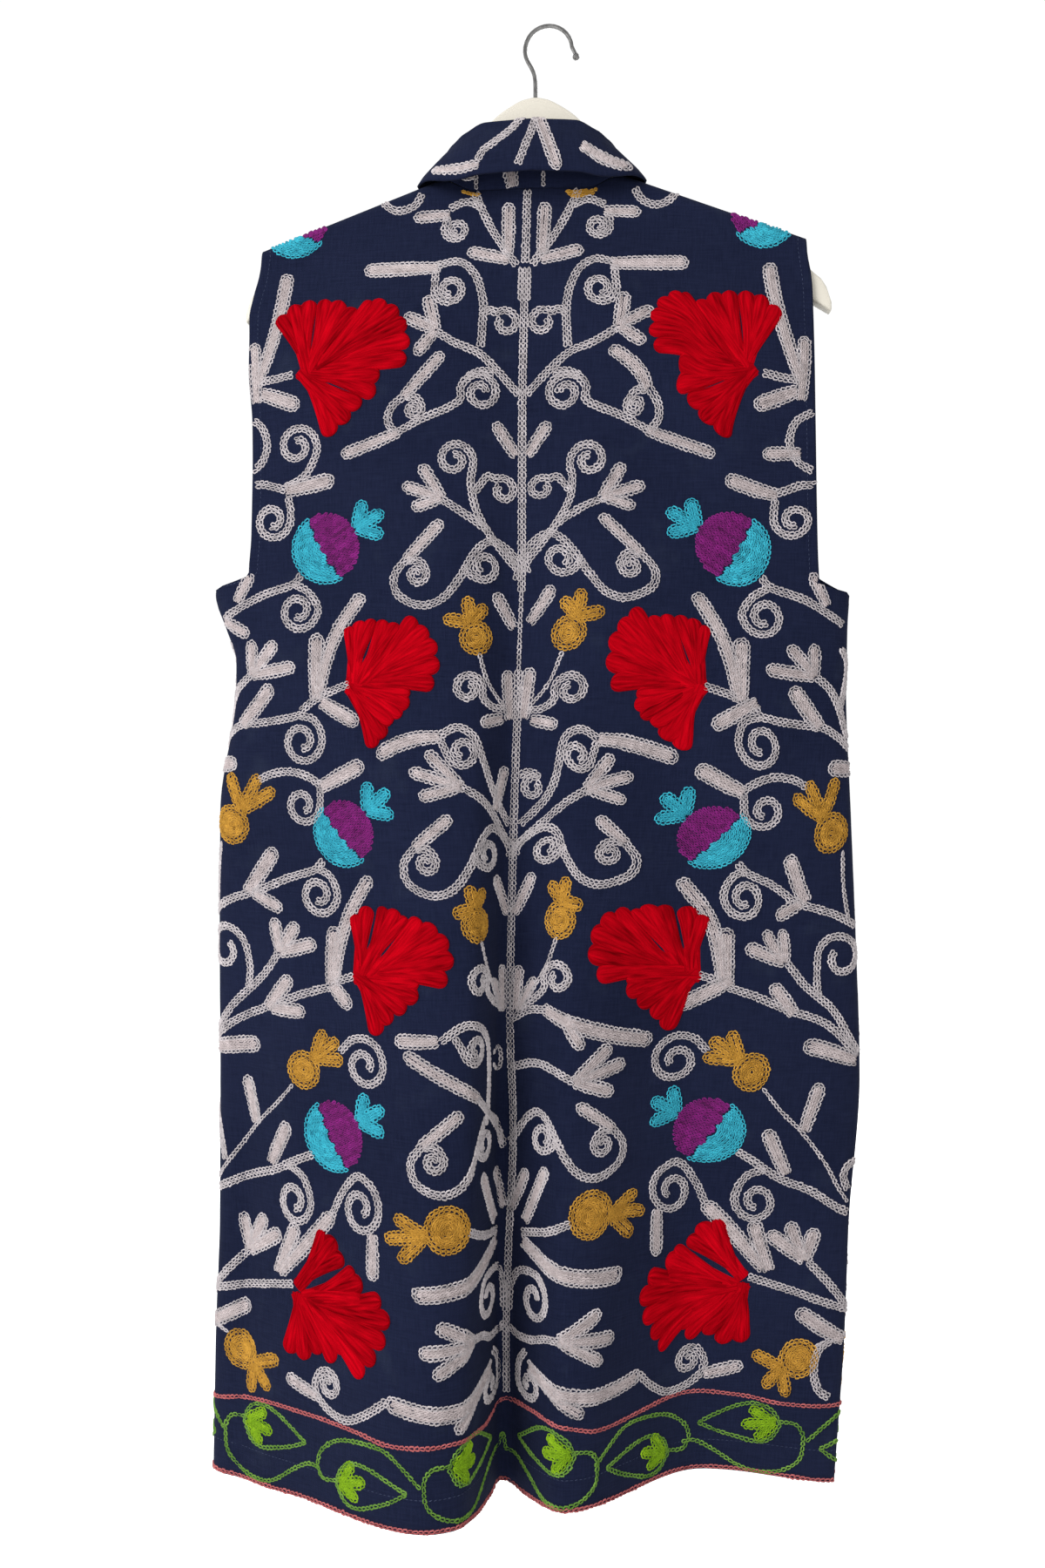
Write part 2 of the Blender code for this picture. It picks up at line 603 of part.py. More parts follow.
def build_hook():
    """Bent wire hook with a ball at its end: rings of points along the wire's path."""
    path = np.array(hook_path())
    along = np.gradient(path[:, :2], axis=0)
    along /= np.linalg.norm(along, axis=1, keepdims=True)
    mesh = bmesh.new()
    rings = []
    for (x, z, radius), (run_x, run_z) in zip(path, along):
        ring = []
        for step in range(WIRE_SIDES):
            angle = math.tau * step / WIRE_SIDES
            side = radius * math.cos(angle)
            ring.append(mesh.verts.new((x - run_z * side, radius * math.sin(angle), z + run_x * side)))
        rings.append(ring)
    for first, second in zip(rings, rings[1:]):
        for k in range(WIRE_SIDES):
            after = (k + 1) % WIRE_SIDES
            mesh.faces.new((first[k], first[after], second[after], second[k]))
    mesh.faces.new(rings[0])
    mesh.faces.new(rings[-1])
    return finish_mesh("hook", mesh)


def main():
    """Build the vest and its hanger."""
    for thing in list(bpy.data.objects):
        bpy.data.objects.remove(thing)
    back = back_grid()
    fronts = {hand: front_grid(hand) for hand in (-1, 1)}
    navy = (0.012, 0.019, 0.052)
    plain_finish(cloth_panel("back", back, -1), "back_cloth", navy, 0.92)
    plain_finish(cloth_panel("front_left", fronts[-1], 1), "front_left_cloth", navy, 0.92)
    plain_finish(cloth_panel("front_right", fronts[1], 1), "front_right_cloth", navy, 0.92)
    plain_finish(build_collar(back, fronts), "collar_cloth", navy, 0.92)
    plain_finish(build_hanger(), "hanger_paint", (0.70, 0.66, 0.58), 0.45)
    plain_finish(build_hook(), "hook_wire", (0.62, 0.62, 0.63), 0.22, 1.0)


main()
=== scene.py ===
"""Embroidered folk vest on a painted hanger: draped cloth, chain-stitched wool, board and wire.

Metres in the frame; charts of the embroidery are in millimetres of flat cloth: u outwards
from the middle line and v down from the back neck seam.
"""
import logging
import math
from dataclasses import dataclass, field
from enum import Enum
from typing import Callable, NamedTuple

import bmesh
import bpy
import numpy as np
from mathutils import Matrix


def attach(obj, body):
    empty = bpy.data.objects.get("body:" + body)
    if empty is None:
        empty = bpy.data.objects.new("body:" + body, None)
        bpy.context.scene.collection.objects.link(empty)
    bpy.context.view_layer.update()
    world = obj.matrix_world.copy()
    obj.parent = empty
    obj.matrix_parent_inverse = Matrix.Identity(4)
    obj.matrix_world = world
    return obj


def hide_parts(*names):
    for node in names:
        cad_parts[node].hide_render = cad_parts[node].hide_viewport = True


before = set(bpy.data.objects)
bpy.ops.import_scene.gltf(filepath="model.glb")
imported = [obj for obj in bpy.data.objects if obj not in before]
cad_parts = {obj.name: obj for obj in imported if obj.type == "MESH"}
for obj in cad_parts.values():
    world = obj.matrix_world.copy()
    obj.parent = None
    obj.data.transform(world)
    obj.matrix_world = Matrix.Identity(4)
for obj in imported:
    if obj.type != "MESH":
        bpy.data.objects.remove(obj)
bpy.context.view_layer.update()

LOG = logging.getLogger("vest")
Array = np.ndarray
Rng = np.random.Generator
Socket = bpy.types.NodeSocket
Thing = bpy.types.Object
Pair = tuple[float, float]
Triple = tuple[float, float, float]
MM = 0.001
SEED = 20

# ---- the vest's own sizes, in metres ------------------------------------------------------
CENTRE_X = -0.013
SEAM_PLANE_Y = 0.008
HEM_Z = -1.092
NECK_SEAM_Z = -0.126
SHOULDER_TIP_R = 0.205
RIDGE_R = 0.083
RIDGE_Z = -0.119
RIDGE_SLOPE = 0.374
RIDGE_CAP = 0.0086
DRAPE_LENGTH = 0.115
NECK_POINT = 0.35
BACK_NECK_FLAT = 0.20
FRONT_NECK_Z = -0.205
FRONT_EDGE_TOP_R = 0.036
FRONT_EDGE_HEM_R = 0.030
ARMHOLE_TURN_Z = -0.408
UNDERARM_Z = -0.4285
SEAM_GAP = 0.00006
SHELL = 0.0012              # cloth without its stitching
SQUARENESS = 3.4
FRONT_NECK_CURVE = 1.35     # how late the front neck turns down
UNDERARM_CURVE = 1.3        # how late the armhole turns out to the side seam
HEM_WAVE_HEIGHT = 0.06      # the hem's waves fade out over this height
CREASE_EDGE = 0.035         # creases fade towards the panel's sides over this width
CREASE_TOP = 0.05           # and towards the shoulder over this height
PAST_SEAM = 0.004           # the tube's tables run on this far past a seam
PROBE = 0.0012              # directions on the cloth are read over this distance
BACK_COLUMNS = ((0.0, NECK_POINT, 17), (NECK_POINT, 0.94, 26), (0.94, 1.0, 7))
FRONT_COLUMNS = ((0.0, 0.207, 9), (0.207, 0.94, 25), (0.94, 1.0, 6))
STEM_X = -0.010


class Side(Enum):
    """Which half of the draped tube a panel is cut from."""

    BACK = -1
    FRONT = 1


class Section(NamedTuple):
    """Width of the tube at a height, and where the middle of the back runs."""

    z: float
    left: float
    right: float
    middle: float


class Fold(NamedTuple):
    """A fold's crest or hollow at each of FOLD_HEIGHTS, across (x) and through (y)."""

    name: str
    across: tuple[float, ...]
    through: tuple[float, ...]


class ArmholeCut(NamedTuple):
    """How far out the cloth is cut at a height of the armhole."""

    z: float
    out: float


class BoardPlace(NamedTuple):
    """A distance out from the hanger's middle, with the board's upper and lower edge there."""

    out: float
    top: float
    bottom: float


class CollarSection(NamedTuple):
    """The collar at a place round the neck (0 back, 1 neck point, 2 front end)."""

    place: float
    fold_out: float
    fold_up: float
    edge_out: float
    edge_up: float
    facing: float


BOARD = tuple(BoardPlace(*row) for row in (
    (0.0000, -0.0545, -0.1260), (0.0080, -0.0557, -0.1270), (0.0180, -0.0605, -0.1290),
    (0.0300, -0.0688, -0.1320), (0.0400, -0.0800, -0.1360), (0.0500, -0.0985, -0.1410),
    (0.0600, -0.1141, -0.1490), (0.1000, -0.1291, -0.1650), (0.1400, -0.1440, -0.1795),
    (0.1750, -0.1571, -0.1930), (0.1885, -0.1650, -0.2000), (0.1980, -0.1775, -0.2060),
    (0.2055, -0.1890, -0.2110), (0.2140, -0.1965, -0.2162), (0.2180, -0.2040, -0.2187),
    (0.2210, -0.2140, -0.2205),
))
SECTIONS = tuple(Section(*row) for row in (
    (-0.060, -0.238, 0.214, -0.0140), (-0.165, -0.240, 0.216, -0.0160), (-0.300, -0.245, 0.220, -0.0185),
    (-0.427, -0.2565, 0.2255, -0.0190), (-0.455, -0.2475, 0.2240, -0.0200),
    (-0.478, -0.2405, 0.2235, -0.0208), (-0.499, -0.2405, 0.2230, -0.0215),
    (-0.592, -0.2530, 0.2265, -0.0250), (-0.692, -0.2535, 0.2305, -0.0280),
    (-0.790, -0.2530, 0.2335, -0.0300), (-0.902, -0.2535, 0.2255, -0.0305),
    (-0.988, -0.2565, 0.2225, -0.0310), (-1.092, -0.2585, 0.2150, -0.0310),
))
FOLD_HEIGHTS = (-0.165, -0.450, -0.700, -0.900, -1.092)
BACK_FOLDS = tuple(Fold(*row) for row in (
    ("left side", (-0.215, -0.220, -0.225, -0.230, -0.235), (-0.024, -0.026, -0.026, -0.024, -0.024)),
    ("left flat", (-0.150, -0.158, -0.166, -0.175, -0.180), (-0.024, -0.036, -0.044, -0.047, -0.050)),
    ("left crest", (-0.080, -0.078, -0.074, -0.078, -0.084), (-0.024, -0.043, -0.068, -0.082, -0.091)),
    ("left brink", (-0.055, -0.052, -0.052, -0.056, -0.060), (-0.024, -0.040, -0.063, -0.076, -0.083)),
    ("middle hollow", (-0.018, -0.021, -0.028, -0.031, -0.031), (-0.024, -0.026, -0.020, -0.015, -0.012)),
    ("right crest", (0.040, 0.032, 0.020, 0.015, 0.013), (-0.024, -0.034, -0.044, -0.052, -0.057)),
    ("right hollow", (0.110, 0.110, 0.112, 0.115, 0.118), (-0.024, -0.028, -0.017, -0.003, 0.008)),
    ("right side", (0.195, 0.195, 0.200, 0.200, 0.200), (-0.024, -0.025, -0.020, -0.010, -0.003)),
))
FRONT_FOLDS = tuple(Fold(*row) for row in (
    ("left side", (-0.215, -0.220, -0.225, -0.230, -0.235), (0.026, 0.034, 0.036, 0.038, 0.040)),
    ("left pleat", (-0.150, -0.150, -0.152, -0.155, -0.158), (0.026, 0.040, 0.050, 0.060, 0.068)),
    ("left hollow", (-0.095, -0.095, -0.096, -0.098, -0.100), (0.026, 0.035, 0.034, 0.034, 0.034)),
    ("left edge", (-0.045, -0.045, -0.043, -0.043, -0.043), (0.026, 0.037, 0.044, 0.050, 0.054)),
    ("right edge", (0.020, 0.020, 0.018, 0.018, 0.018), (0.026, 0.037, 0.042, 0.046, 0.050)),
    ("right hollow", (0.072, 0.070, 0.072, 0.072, 0.072), (0.026, 0.034, 0.033, 0.032, 0.032)),
    ("right pleat", (0.128, 0.130, 0.132, 0.132, 0.130), (0.026, 0.041, 0.052, 0.060, 0.066)),
    ("right side", (0.195, 0.195, 0.200, 0.200, 0.196), (0.026, 0.034, 0.038, 0.040, 0.040)),
))
ARMHOLE = tuple(ArmholeCut(*row) for row in (
    (-0.100, 0.2050), (-0.165, 0.2050), (-0.205, 0.2090), (-0.300, 0.2105), (-0.398, 0.2120),
    (-0.430, 0.2135),
))
LEFT_ARMHOLE_EASE = ((-0.405, 0.0), (-0.385, -0.001), (-0.345, -0.001), (-0.300, 0.0), (-0.257, 0.0040),
                     (-0.234, 0.0042), (-0.217, 0.0048), (-0.2035, 0.0024), (-0.190, 0.0))
ARMHOLE_TURNS = {-1: -0.4147, 1: -0.4250}     # where the back's armhole turns outwards, left and right
UNDERARM_LEAN = 0.003
HEM_WAVE = ((-300, 4.0), (-250, 3.5), (-205, 0.5), (-75, 0.0), (-42, 4.0), (-22, 3.0), (-9, 0.0), (14, 4.0),
            (35, 3.0), (58, 0.0), (100, -1.5), (205, -1.5), (258, 1.0), (290, 3.5))
COLLAR = tuple(CollarSection(*row) for row in (
    (0.00, 0.008, 0.047, 0.023, 0.003, 0.0), (0.45, 0.007, 0.0465, 0.023, 0.002, 10.0),
    (0.65, 0.004, 0.040, 0.021, -0.001, 24.0), (0.80, -0.001, 0.030, 0.019, -0.003, 45.0),
    (1.00, -0.0055, 0.0165, 0.0155, -0.0035, 84.0), (1.20, -0.008, 0.014, 0.017, -0.006, 96.0),
    (1.60, -0.008, 0.015, 0.021, -0.015, 110.0), (2.00, -0.006, 0.016, 0.024, -0.020, 112.0),
))


def curve_through(xs: Array, ys: Array, at: Array) -> Array:
    """Smooth curve through a table's points that never overshoots them.

    Args:
        xs: Places of the table's points.
        ys: Their values.
        at: Places to read.

    Returns:
        The curve's values there.
    """
    xs = np.asarray(xs, float)
    ys = np.asarray(ys, float)
    order = np.argsort(xs)
    xs = xs[order]
    ys = ys[order]
    step = np.diff(xs)
    slope = np.diff(ys) / step
    tangent = np.zeros_like(ys)
    same_way = slope[:-1] * slope[1:] > 0.0
    weight_a = 2.0 * step[1:] + step[:-1]
    weight_b = step[1:] + 2.0 * step[:-1]
    safe_a = np.where(same_way, slope[:-1], 1.0)
    safe_b = np.where(same_way, slope[1:], 1.0)
    harmonic = (weight_a + weight_b) / (weight_a / safe_a + weight_b / safe_b)
    tangent[1:-1] = np.where(same_way, harmonic, 0.0)
    tangent[0] = slope[0]
    tangent[-1] = slope[-1]
    at = np.clip(np.asarray(at, float), xs[0], xs[-1])
    k = np.clip(np.searchsorted(xs, at) - 1, 0, len(xs) - 2)
    t = (at - xs[k]) / step[k]
    start = (1 + 2 * t) * (1 - t) ** 2 * ys[k] + t * (1 - t) ** 2 * step[k] * tangent[k]
    end = t * t * (3 - 2 * t) * ys[k + 1] + t * t * (t - 1) * step[k] * tangent[k + 1]
    return start + end


def between(grid: Array, r: Array, c: Array) -> Array:
    """Values of a grid, of numbers or of points, between its rows and columns."""
    r0, c0 = r.astype(int), c.astype(int)
    fr, fc = r - r0, c - c0
    if grid.ndim == 3:
        fr, fc = fr[..., None], fc[..., None]
    first = grid[r0, c0] * (1 - fc) + grid[r0, c0 + 1] * fc
    second = grid[r0 + 1, c0] * (1 - fc) + grid[r0 + 1, c0 + 1] * fc
    return first * (1 - fr) + second * fr


def spread(runs: tuple) -> Array:
    """Places from the first to the last, each run evenly spread."""
    return np.concatenate([np.linspace(*run)[1 if k else 0:] for k, run in enumerate(runs)])


def ease(t: Array) -> Array:
    """0 to 1 with a soft start and end."""
    t = np.clip(t, 0.0, 1.0)
    return t * t * (3.0 - 2.0 * t)


def read_table(table: tuple, column: str, at: Array) -> Array:
    """One column of a table, read along its first column."""
    return curve_through([row[0] for row in table], [getattr(row, column) for row in table], at)


def ridge_z(out: Array) -> Array:
    """Height of the shoulder's ridge, a distance out from the middle."""
    return RIDGE_Z - RIDGE_SLOPE * (out - RIDGE_R)


def back_top_z(out: float) -> float:
    """Upper cut of the back: the neck curve, then the shoulder's ridge."""
    share = out / SHOULDER_TIP_R
    if share >= NECK_POINT:
        return ridge_z(out)
    rise = ease(max(0.0, (share - BACK_NECK_FLAT) / (NECK_POINT - BACK_NECK_FLAT)))
    return NECK_SEAM_Z + (ridge_z(NECK_POINT * SHOULDER_TIP_R) - NECK_SEAM_Z) * rise


def front_top_z(out: float) -> float:
    """Upper cut of a front: the neck curve down to the front edge, then the shoulder's ridge."""
    neck_point = NECK_POINT * SHOULDER_TIP_R
    if out >= neck_point:
        return ridge_z(out)
    share = max(0.0, (neck_point - out) / (neck_point - FRONT_EDGE_TOP_R))
    return ridge_z(neck_point) + (FRONT_NECK_Z - ridge_z(neck_point)) * share ** FRONT_NECK_CURVE


def front_edge_out(z: Array) -> Array:
    """Half the gap between the fronts at a height."""
    share = np.clip((z - FRONT_NECK_Z) / (HEM_Z - FRONT_NECK_Z), 0.0, 1.0)
    return FRONT_EDGE_TOP_R + (FRONT_EDGE_HEM_R - FRONT_EDGE_TOP_R) * share


class Patch(NamedTuple):
    """Places on a surface with its directions there."""

    spot: Array
    across: Array
    down: Array
    out: Array


@dataclass(frozen=True)
class Crease:
    """A soft trough or ridge in hanging cloth, from one place of its chart to another (mm)."""

    start: Pair
    end: Pair
    width: float
    depth: float

    def lift(self, u: Array, v: Array) -> Array:
        """How far the crease moves the cloth out.

        Args:
            u: Places across, mm.
            v: Places down, mm.

        Returns:
            The move outwards in metres, negative in a trough.
        """
        run = np.subtract(self.end, self.start)
        length = float(np.hypot(*run))
        along = ((u - self.start[0]) * run[0] + (v - self.start[1]) * run[1]) / length ** 2
        aside = ((u - self.start[0]) * run[1] - (v - self.start[1]) * run[0]) / length
        wander = 0.16 * self.width * np.sin(along * 7.0 + self.start[0])
        fade = np.sin(np.clip(along, 0.0, 1.0) * math.pi) ** 0.7
        return self.depth * MM * np.exp(-(((aside + wander) / self.width) ** 2)) * fade


BACK_CREASES = tuple(Crease(*row) for row in (
    ((-196, 60), (-120, 250), 15, 1.8), ((-205, 190), (-70, 400), 17, -1.9),
    ((-210, 285), (-90, 470), 13, 1.6), ((190, 70), (135, 290), 14, 1.6), ((210, 200), (85, 390), 18, -1.8),
    ((212, 300), (110, 480), 12, 1.5), ((-232, 330), (-150, 520), 11, -1.5),
    ((236, 330), (170, 560), 12, -1.5), ((-38, 30), (-62, 330), 20, 1.4), ((40, 40), (70, 300), 22, 1.3),
    ((-130, 420), (-118, 800), 16, -1.7), ((-196, 520), (-210, 930), 17, 2.0),
    ((-250, 560), (-262, 960), 14, -2.1), ((-88, 600), (-96, 966), 12, 1.6), ((52, 500), (44, 900), 13, 1.5),
    ((118, 560), (110, 966), 18, -2.2), ((176, 470), (196, 966), 19, 1.9), ((238, 560), (252, 966), 14, -1.8),
    ((-40, 820), (-52, 966), 9, -1.6), ((88, 840), (80, 966), 9, 1.7), ((-13, 470), (-13, 1080), 6, -6.0),
    ((17, 470), (16, 1080), 15, 4.0),
))
FRONT_CREASES = tuple(Crease(*row) for row in (
    ((-190, 80), (-120, 300), 16, 1.7), ((-200, 230), (-90, 420), 15, -1.8), ((196, 90), (110, 310), 15, 1.6),
    ((206, 250), (96, 440), 17, -1.9), ((-70, 120), (-58, 500), 14, 1.3), ((62, 140), (74, 540), 13, 1.4),
    ((-140, 430), (-152, 900), 17, -1.8), ((-205, 520), (-214, 960), 15, 1.9),
    ((-88, 560), (-80, 960), 12, -1.5), ((92, 520), (84, 960), 13, -1.7), ((150, 460), (158, 930), 18, 1.7),
    ((214, 540), (220, 960), 14, -1.8),
))


@dataclass
class DrapedTube:
    """One half of the hanging tube of cloth: where a place of its flat chart ends up."""

    side: Side
    folds: tuple[Fold, ...]
    creases: tuple[Crease, ...]
    reach: float = 0.384
    column_step: float = 0.003
    row_step: float = 0.0025
    samples: int = 601
    x_rows: Array = field(init=False)
    y_rows: Array = field(init=False)
    seam_rows: dict[int, Array] = field(init=False)
    heights: Array = field(init=False)

    def __post_init__(self) -> None:
        """Work out every row of the tube once."""
        self.heights = np.arange(HEM_Z - 0.008, -0.095, self.row_step)
        columns = np.arange(-self.reach, self.reach + 1e-9, self.column_step)
        x_rows = []
        y_rows = []
        seams = {-1: [], 1: []}
        for z in self.heights:
            x, hanging, along = self.outline(z)
            centre = read_table(SECTIONS, "middle", z) if self.side is Side.BACK else CENTRE_X
            middle = np.interp(centre, x, along)
            lengths, *outline = (self.lengthened(values, along) for values in (along, x, hanging))
            x_rows.append(np.interp(columns + middle, lengths, outline[0]))
            y_rows.append(np.interp(columns + middle, lengths, outline[1]))
            seams[-1].append(SEAM_GAP / 2.0 - middle)
            seams[1].append(along[-1] - SEAM_GAP / 2.0 - middle)
            for hand in (-1, 1):
                seams[hand][-1] = self.armhole_cut(z, hand, x, along - middle, seams[hand][-1])
        self.x_rows = np.array(x_rows)
        self.y_rows = np.array(y_rows)
        self.seam_rows = {hand: np.array(rows) for hand, rows in seams.items()}

    def lengthened(self, values: Array, along: Array) -> Array:
        """Carry values on straight past both side seams, so that they read true up to the seams.

        Args:
            values: Values along the outline.
            along: Lengths of cloth along it.

        Returns:
            The values with one more at each end.
        """
        first = values[0] - (values[1] - values[0]) * PAST_SEAM / (along[1] - along[0])
        last = values[-1] + (values[-1] - values[-2]) * PAST_SEAM / (along[-1] - along[-2])
        return np.concatenate(([first], values, [last]))

    def outline(self, z: float) -> tuple[Array, Array, Array]:
        """The tube's outline at a height.

        Args:
            z: The height.

        Returns:
            Places across, places through before the shoulder turns them, and cloth lengths.
        """
        left = float(read_table(SECTIONS, "left", z))
        right = float(read_table(SECTIONS, "right", z))
        q = np.sin(np.linspace(-1.0, 1.0, self.samples) * math.pi / 2.0)
        x = (left + right) / 2.0 + q * (right - left) / 2.0
        roundness = np.maximum(1.0 - np.abs(q) ** SQUARENESS, 0.0) ** (1.0 / SQUARENESS)
        across = [float(curve_through(FOLD_HEIGHTS, fold.across, z)) for fold in self.folds]
        through = [float(curve_through(FOLD_HEIGHTS, fold.through, z)) for fold in self.folds]
        fold = curve_through(across, through, x)
        hanging = SEAM_PLANE_Y + (fold - SEAM_PLANE_Y) * roundness
        y = self.over_shoulder(x, hanging, z)
        run = np.hypot(np.diff(x), np.diff(y))
        return x, hanging, np.concatenate(([0.0], np.cumsum(run)))

    def over_shoulder(self, x: Array, hanging: Array, z: Array) -> Array:
        """Lead the hanging cloth up and over the shoulder's ridge.

        Args:
            x: Places across.
            hanging: Where the folds alone put the cloth, through.
            z: Heights.

        Returns:
            Where the cloth is, through.
        """
        below = ridge_z(np.abs(x - CENTRE_X)) - z
        lean = ease(below / DRAPE_LENGTH)
        lift = np.clip(1.0 - below / RIDGE_CAP, 0.0, 1.0)
        cap = self.side.value * RIDGE_CAP * np.sqrt(1.0 - lift ** 2)
        return cap * (1.0 - lean) + hanging * lean

    def armhole_cut(self, z: float, hand: int, x: Array, u: Array, seam: float) -> float:
        """Where the cloth ends at a height: the armhole's cut, or the side seam below it.

        Args:
            z: The height.
            hand: -1 left, 1 right.
            x: Places across along the outline.
            u: The same places as lengths of cloth from the middle.
            seam: Length of cloth at the side seam.

        Returns:
            Signed length of cloth from the middle line.
        """
        underarm_z = UNDERARM_Z - hand * UNDERARM_LEAN
        if z <= underarm_z:
            return seam
        out = float(read_table(ARMHOLE, "out", z))
        turn_z = ARMHOLE_TURN_Z
        if self.side is Side.BACK:
            turn_z = ARMHOLE_TURNS[hand]
            out += float(curve_through(*zip(*LEFT_ARMHOLE_EASE), z)) if hand < 0 else 0.0
        cut = float(np.interp(CENTRE_X + hand * out, x, u))
        turn = min(1.0, max(0.0, (turn_z - z) / (turn_z - underarm_z)))
        return cut + (seam - cut) * turn ** UNDERARM_CURVE

    def edge(self, z: Array, hand: int) -> Array:
        """Signed length of cloth from the middle to the side seam or armhole."""
        return np.interp(z, self.heights, self.seam_rows[hand])

    def read(self, rows: Array, u: Array, z: Array) -> Array:
        """Read one of the tube's tables between its points.

        Args:
            rows: The table, a row for each height.
            u: Lengths of cloth from the middle.
            z: Heights.

        Returns:
            The values there.
        """
        r = np.clip((z - self.heights[0]) / self.row_step, 0.0, len(self.heights) - 1.001)
        c = np.clip((u + self.reach) / self.column_step, 0.0, rows.shape[1] - 1.001)
        return between(rows, r, c)

    def creased(self, u: Array, z: Array) -> Array:
        """How far the creases move the cloth through, in metres."""
        v = (NECK_SEAM_Z - z) / MM
        total = np.zeros(np.shape(u))
        for crease in self.creases:
            total += crease.lift(u / MM, v)
        inside = np.minimum(u - self.edge(z, -1), self.edge(z, 1) - u)
        return self.side.value * total * ease(inside / CREASE_EDGE)

    def place(self, u: Array, z: Array) -> Array:
        """Where the cloth is.

        Args:
            u: Lengths of cloth from the middle.
            z: Heights.

        Returns:
            Places on the outside of the cloth.
        """
        x = self.read(self.x_rows, u, z)
        y = self.over_shoulder(x, self.read(self.y_rows, u, z), z)
        below = ridge_z(np.abs(x - CENTRE_X)) - z
        y = y + self.creased(u, z) * ease(below / CREASE_TOP)
        if self.side is Side.BACK:
            drop = curve_through(*zip(*HEM_WAVE), u / MM) * MM
            z = z - drop * ease((HEM_Z + HEM_WAVE_HEIGHT - z) / HEM_WAVE_HEIGHT)
        return np.stack((x, y, np.broadcast_to(z, x.shape)), axis=-1)

    def length_at(self, x: Array, z: Array) -> Array:
        """Length of cloth from the middle to a place across, at a height."""
        u = x - CENTRE_X
        for _ in range(8):
            u = u + (x - self.read(self.x_rows, u, z)) * 0.9
        return u

    def patches(self, u: Array, v: Array) -> Patch:
        """Places and directions on the cloth for a chart's places.

        Args:
            u: Millimetres of cloth from the middle, right positive.
            v: Millimetres below the neck seam.

        Returns:
            The places, with unit directions across, down and out.
        """
        u = u * MM
        z = NECK_SEAM_Z - v * MM
        spot = self.place(u, z)
        across = unit(self.place(u + PROBE, z) - self.place(u - PROBE, z))
        down = unit(self.place(u, z - PROBE) - self.place(u, z + PROBE))
        out = self.side.value * unit(np.cross(across, down))
        return Patch(spot, across, down, out)

    def holds(self, u: Array, v: Array, margin: float = 1.6) -> Array:
        """Whether a chart's places are on the panel.

        Args:
            u: Millimetres of cloth from the middle.
            v: Millimetres below the neck seam.
            margin: How far inside its cuts a place has to be.

        Returns:
            A flag for each place.
        """
        z = NECK_SEAM_Z - v * MM
        keep = (u * MM > self.edge(z, -1) + margin * MM) & (u * MM < self.edge(z, 1) - margin * MM)
        x = self.read(self.x_rows, u * MM, z)
        out = np.abs(x - CENTRE_X)
        top = np.array([self.top_z(o) for o in out.ravel()]).reshape(out.shape)
        keep &= (z < top - margin * MM) & (z > HEM_Z + 0.4 * MM)
        if self.side is Side.FRONT:
            keep &= out > front_edge_out(z) + margin * MM
        return keep

    def top_z(self, out: float) -> float:
        """Upper cut of the panel, a distance out from the middle."""
        return back_top_z(out) if self.side is Side.BACK else front_top_z(out)


def unit(vectors: Array) -> Array:
    """Vectors brought to length one."""
    return vectors / np.maximum(np.linalg.norm(vectors, axis=-1, keepdims=True), 1e-12)


def grid_faces(rows: int, columns: int, flip: bool) -> Array:
    """Four-sided faces of a grid of points.

    Args:
        rows: Rows of points.
        columns: Points in a row.
        flip: Whether the faces turn the other way.

    Returns:
        An array of four indices for each face.
    """
    index = np.arange(rows * columns).reshape(rows, columns)
    a, b, c, d = index[:-1, :-1], index[1:, :-1], index[1:, 1:], index[:-1, 1:]
    order = (a, d, c, b) if flip else (a, b, c, d)
    return np.stack([corner.ravel() for corner in order], axis=1)


def new_mesh(name: str, points: Array, faces: Array) -> Thing:
    """Object with a mesh of faces that all have the same number of corners.

    Args:
        name: Name of the piece.
        points: Its points.
        faces: Its faces.

    Returns:
        The object, linked to the scene and smooth.
    """
    data = bpy.data.meshes.new(name)
    count, corners = faces.shape
    data.vertices.add(len(points))
    data.vertices.foreach_set("co", np.ascontiguousarray(points, np.float32).ravel())
    data.loops.add(count * corners)
    data.loops.foreach_set("vertex_index", np.ascontiguousarray(faces, np.int32).ravel())
    data.polygons.add(count)
    data.polygons.foreach_set("loop_start", np.arange(0, count * corners, corners, dtype=np.int32))
    data.update(calc_edges=True)
    data.validate()
    data.shade_smooth()
    thing = bpy.data.objects.new(name, data)
    bpy.context.scene.collection.objects.link(thing)
    return thing


def give_uv(thing: Thing, places: Array, name: str = "cloth") -> None:
    """Store each point's place on the flat cloth, or along the fibres, as a UV map in metres."""
    layer = thing.data.uv_layers.new(name=name)
    index = np.zeros(len(thing.data.loops), np.int32)
    thing.data.loops.foreach_get("vertex_index", index)
    layer.data.foreach_set("uv", places[index].astype(np.float32).ravel())


def thicken(thing: Thing, thickness: float) -> None:
    """Give a sheet its thickness, inwards from its outside."""
    bpy.ops.object.select_all(action="DESELECT")
    thing.select_set(True)
    bpy.context.view_layer.objects.active = thing
    wall = thing.modifiers.new("cloth", "SOLIDIFY")
    wall.thickness = thickness
    wall.offset = -1.0
    bpy.ops.object.modifier_apply(modifier=wall.name)
    thing.select_set(False)


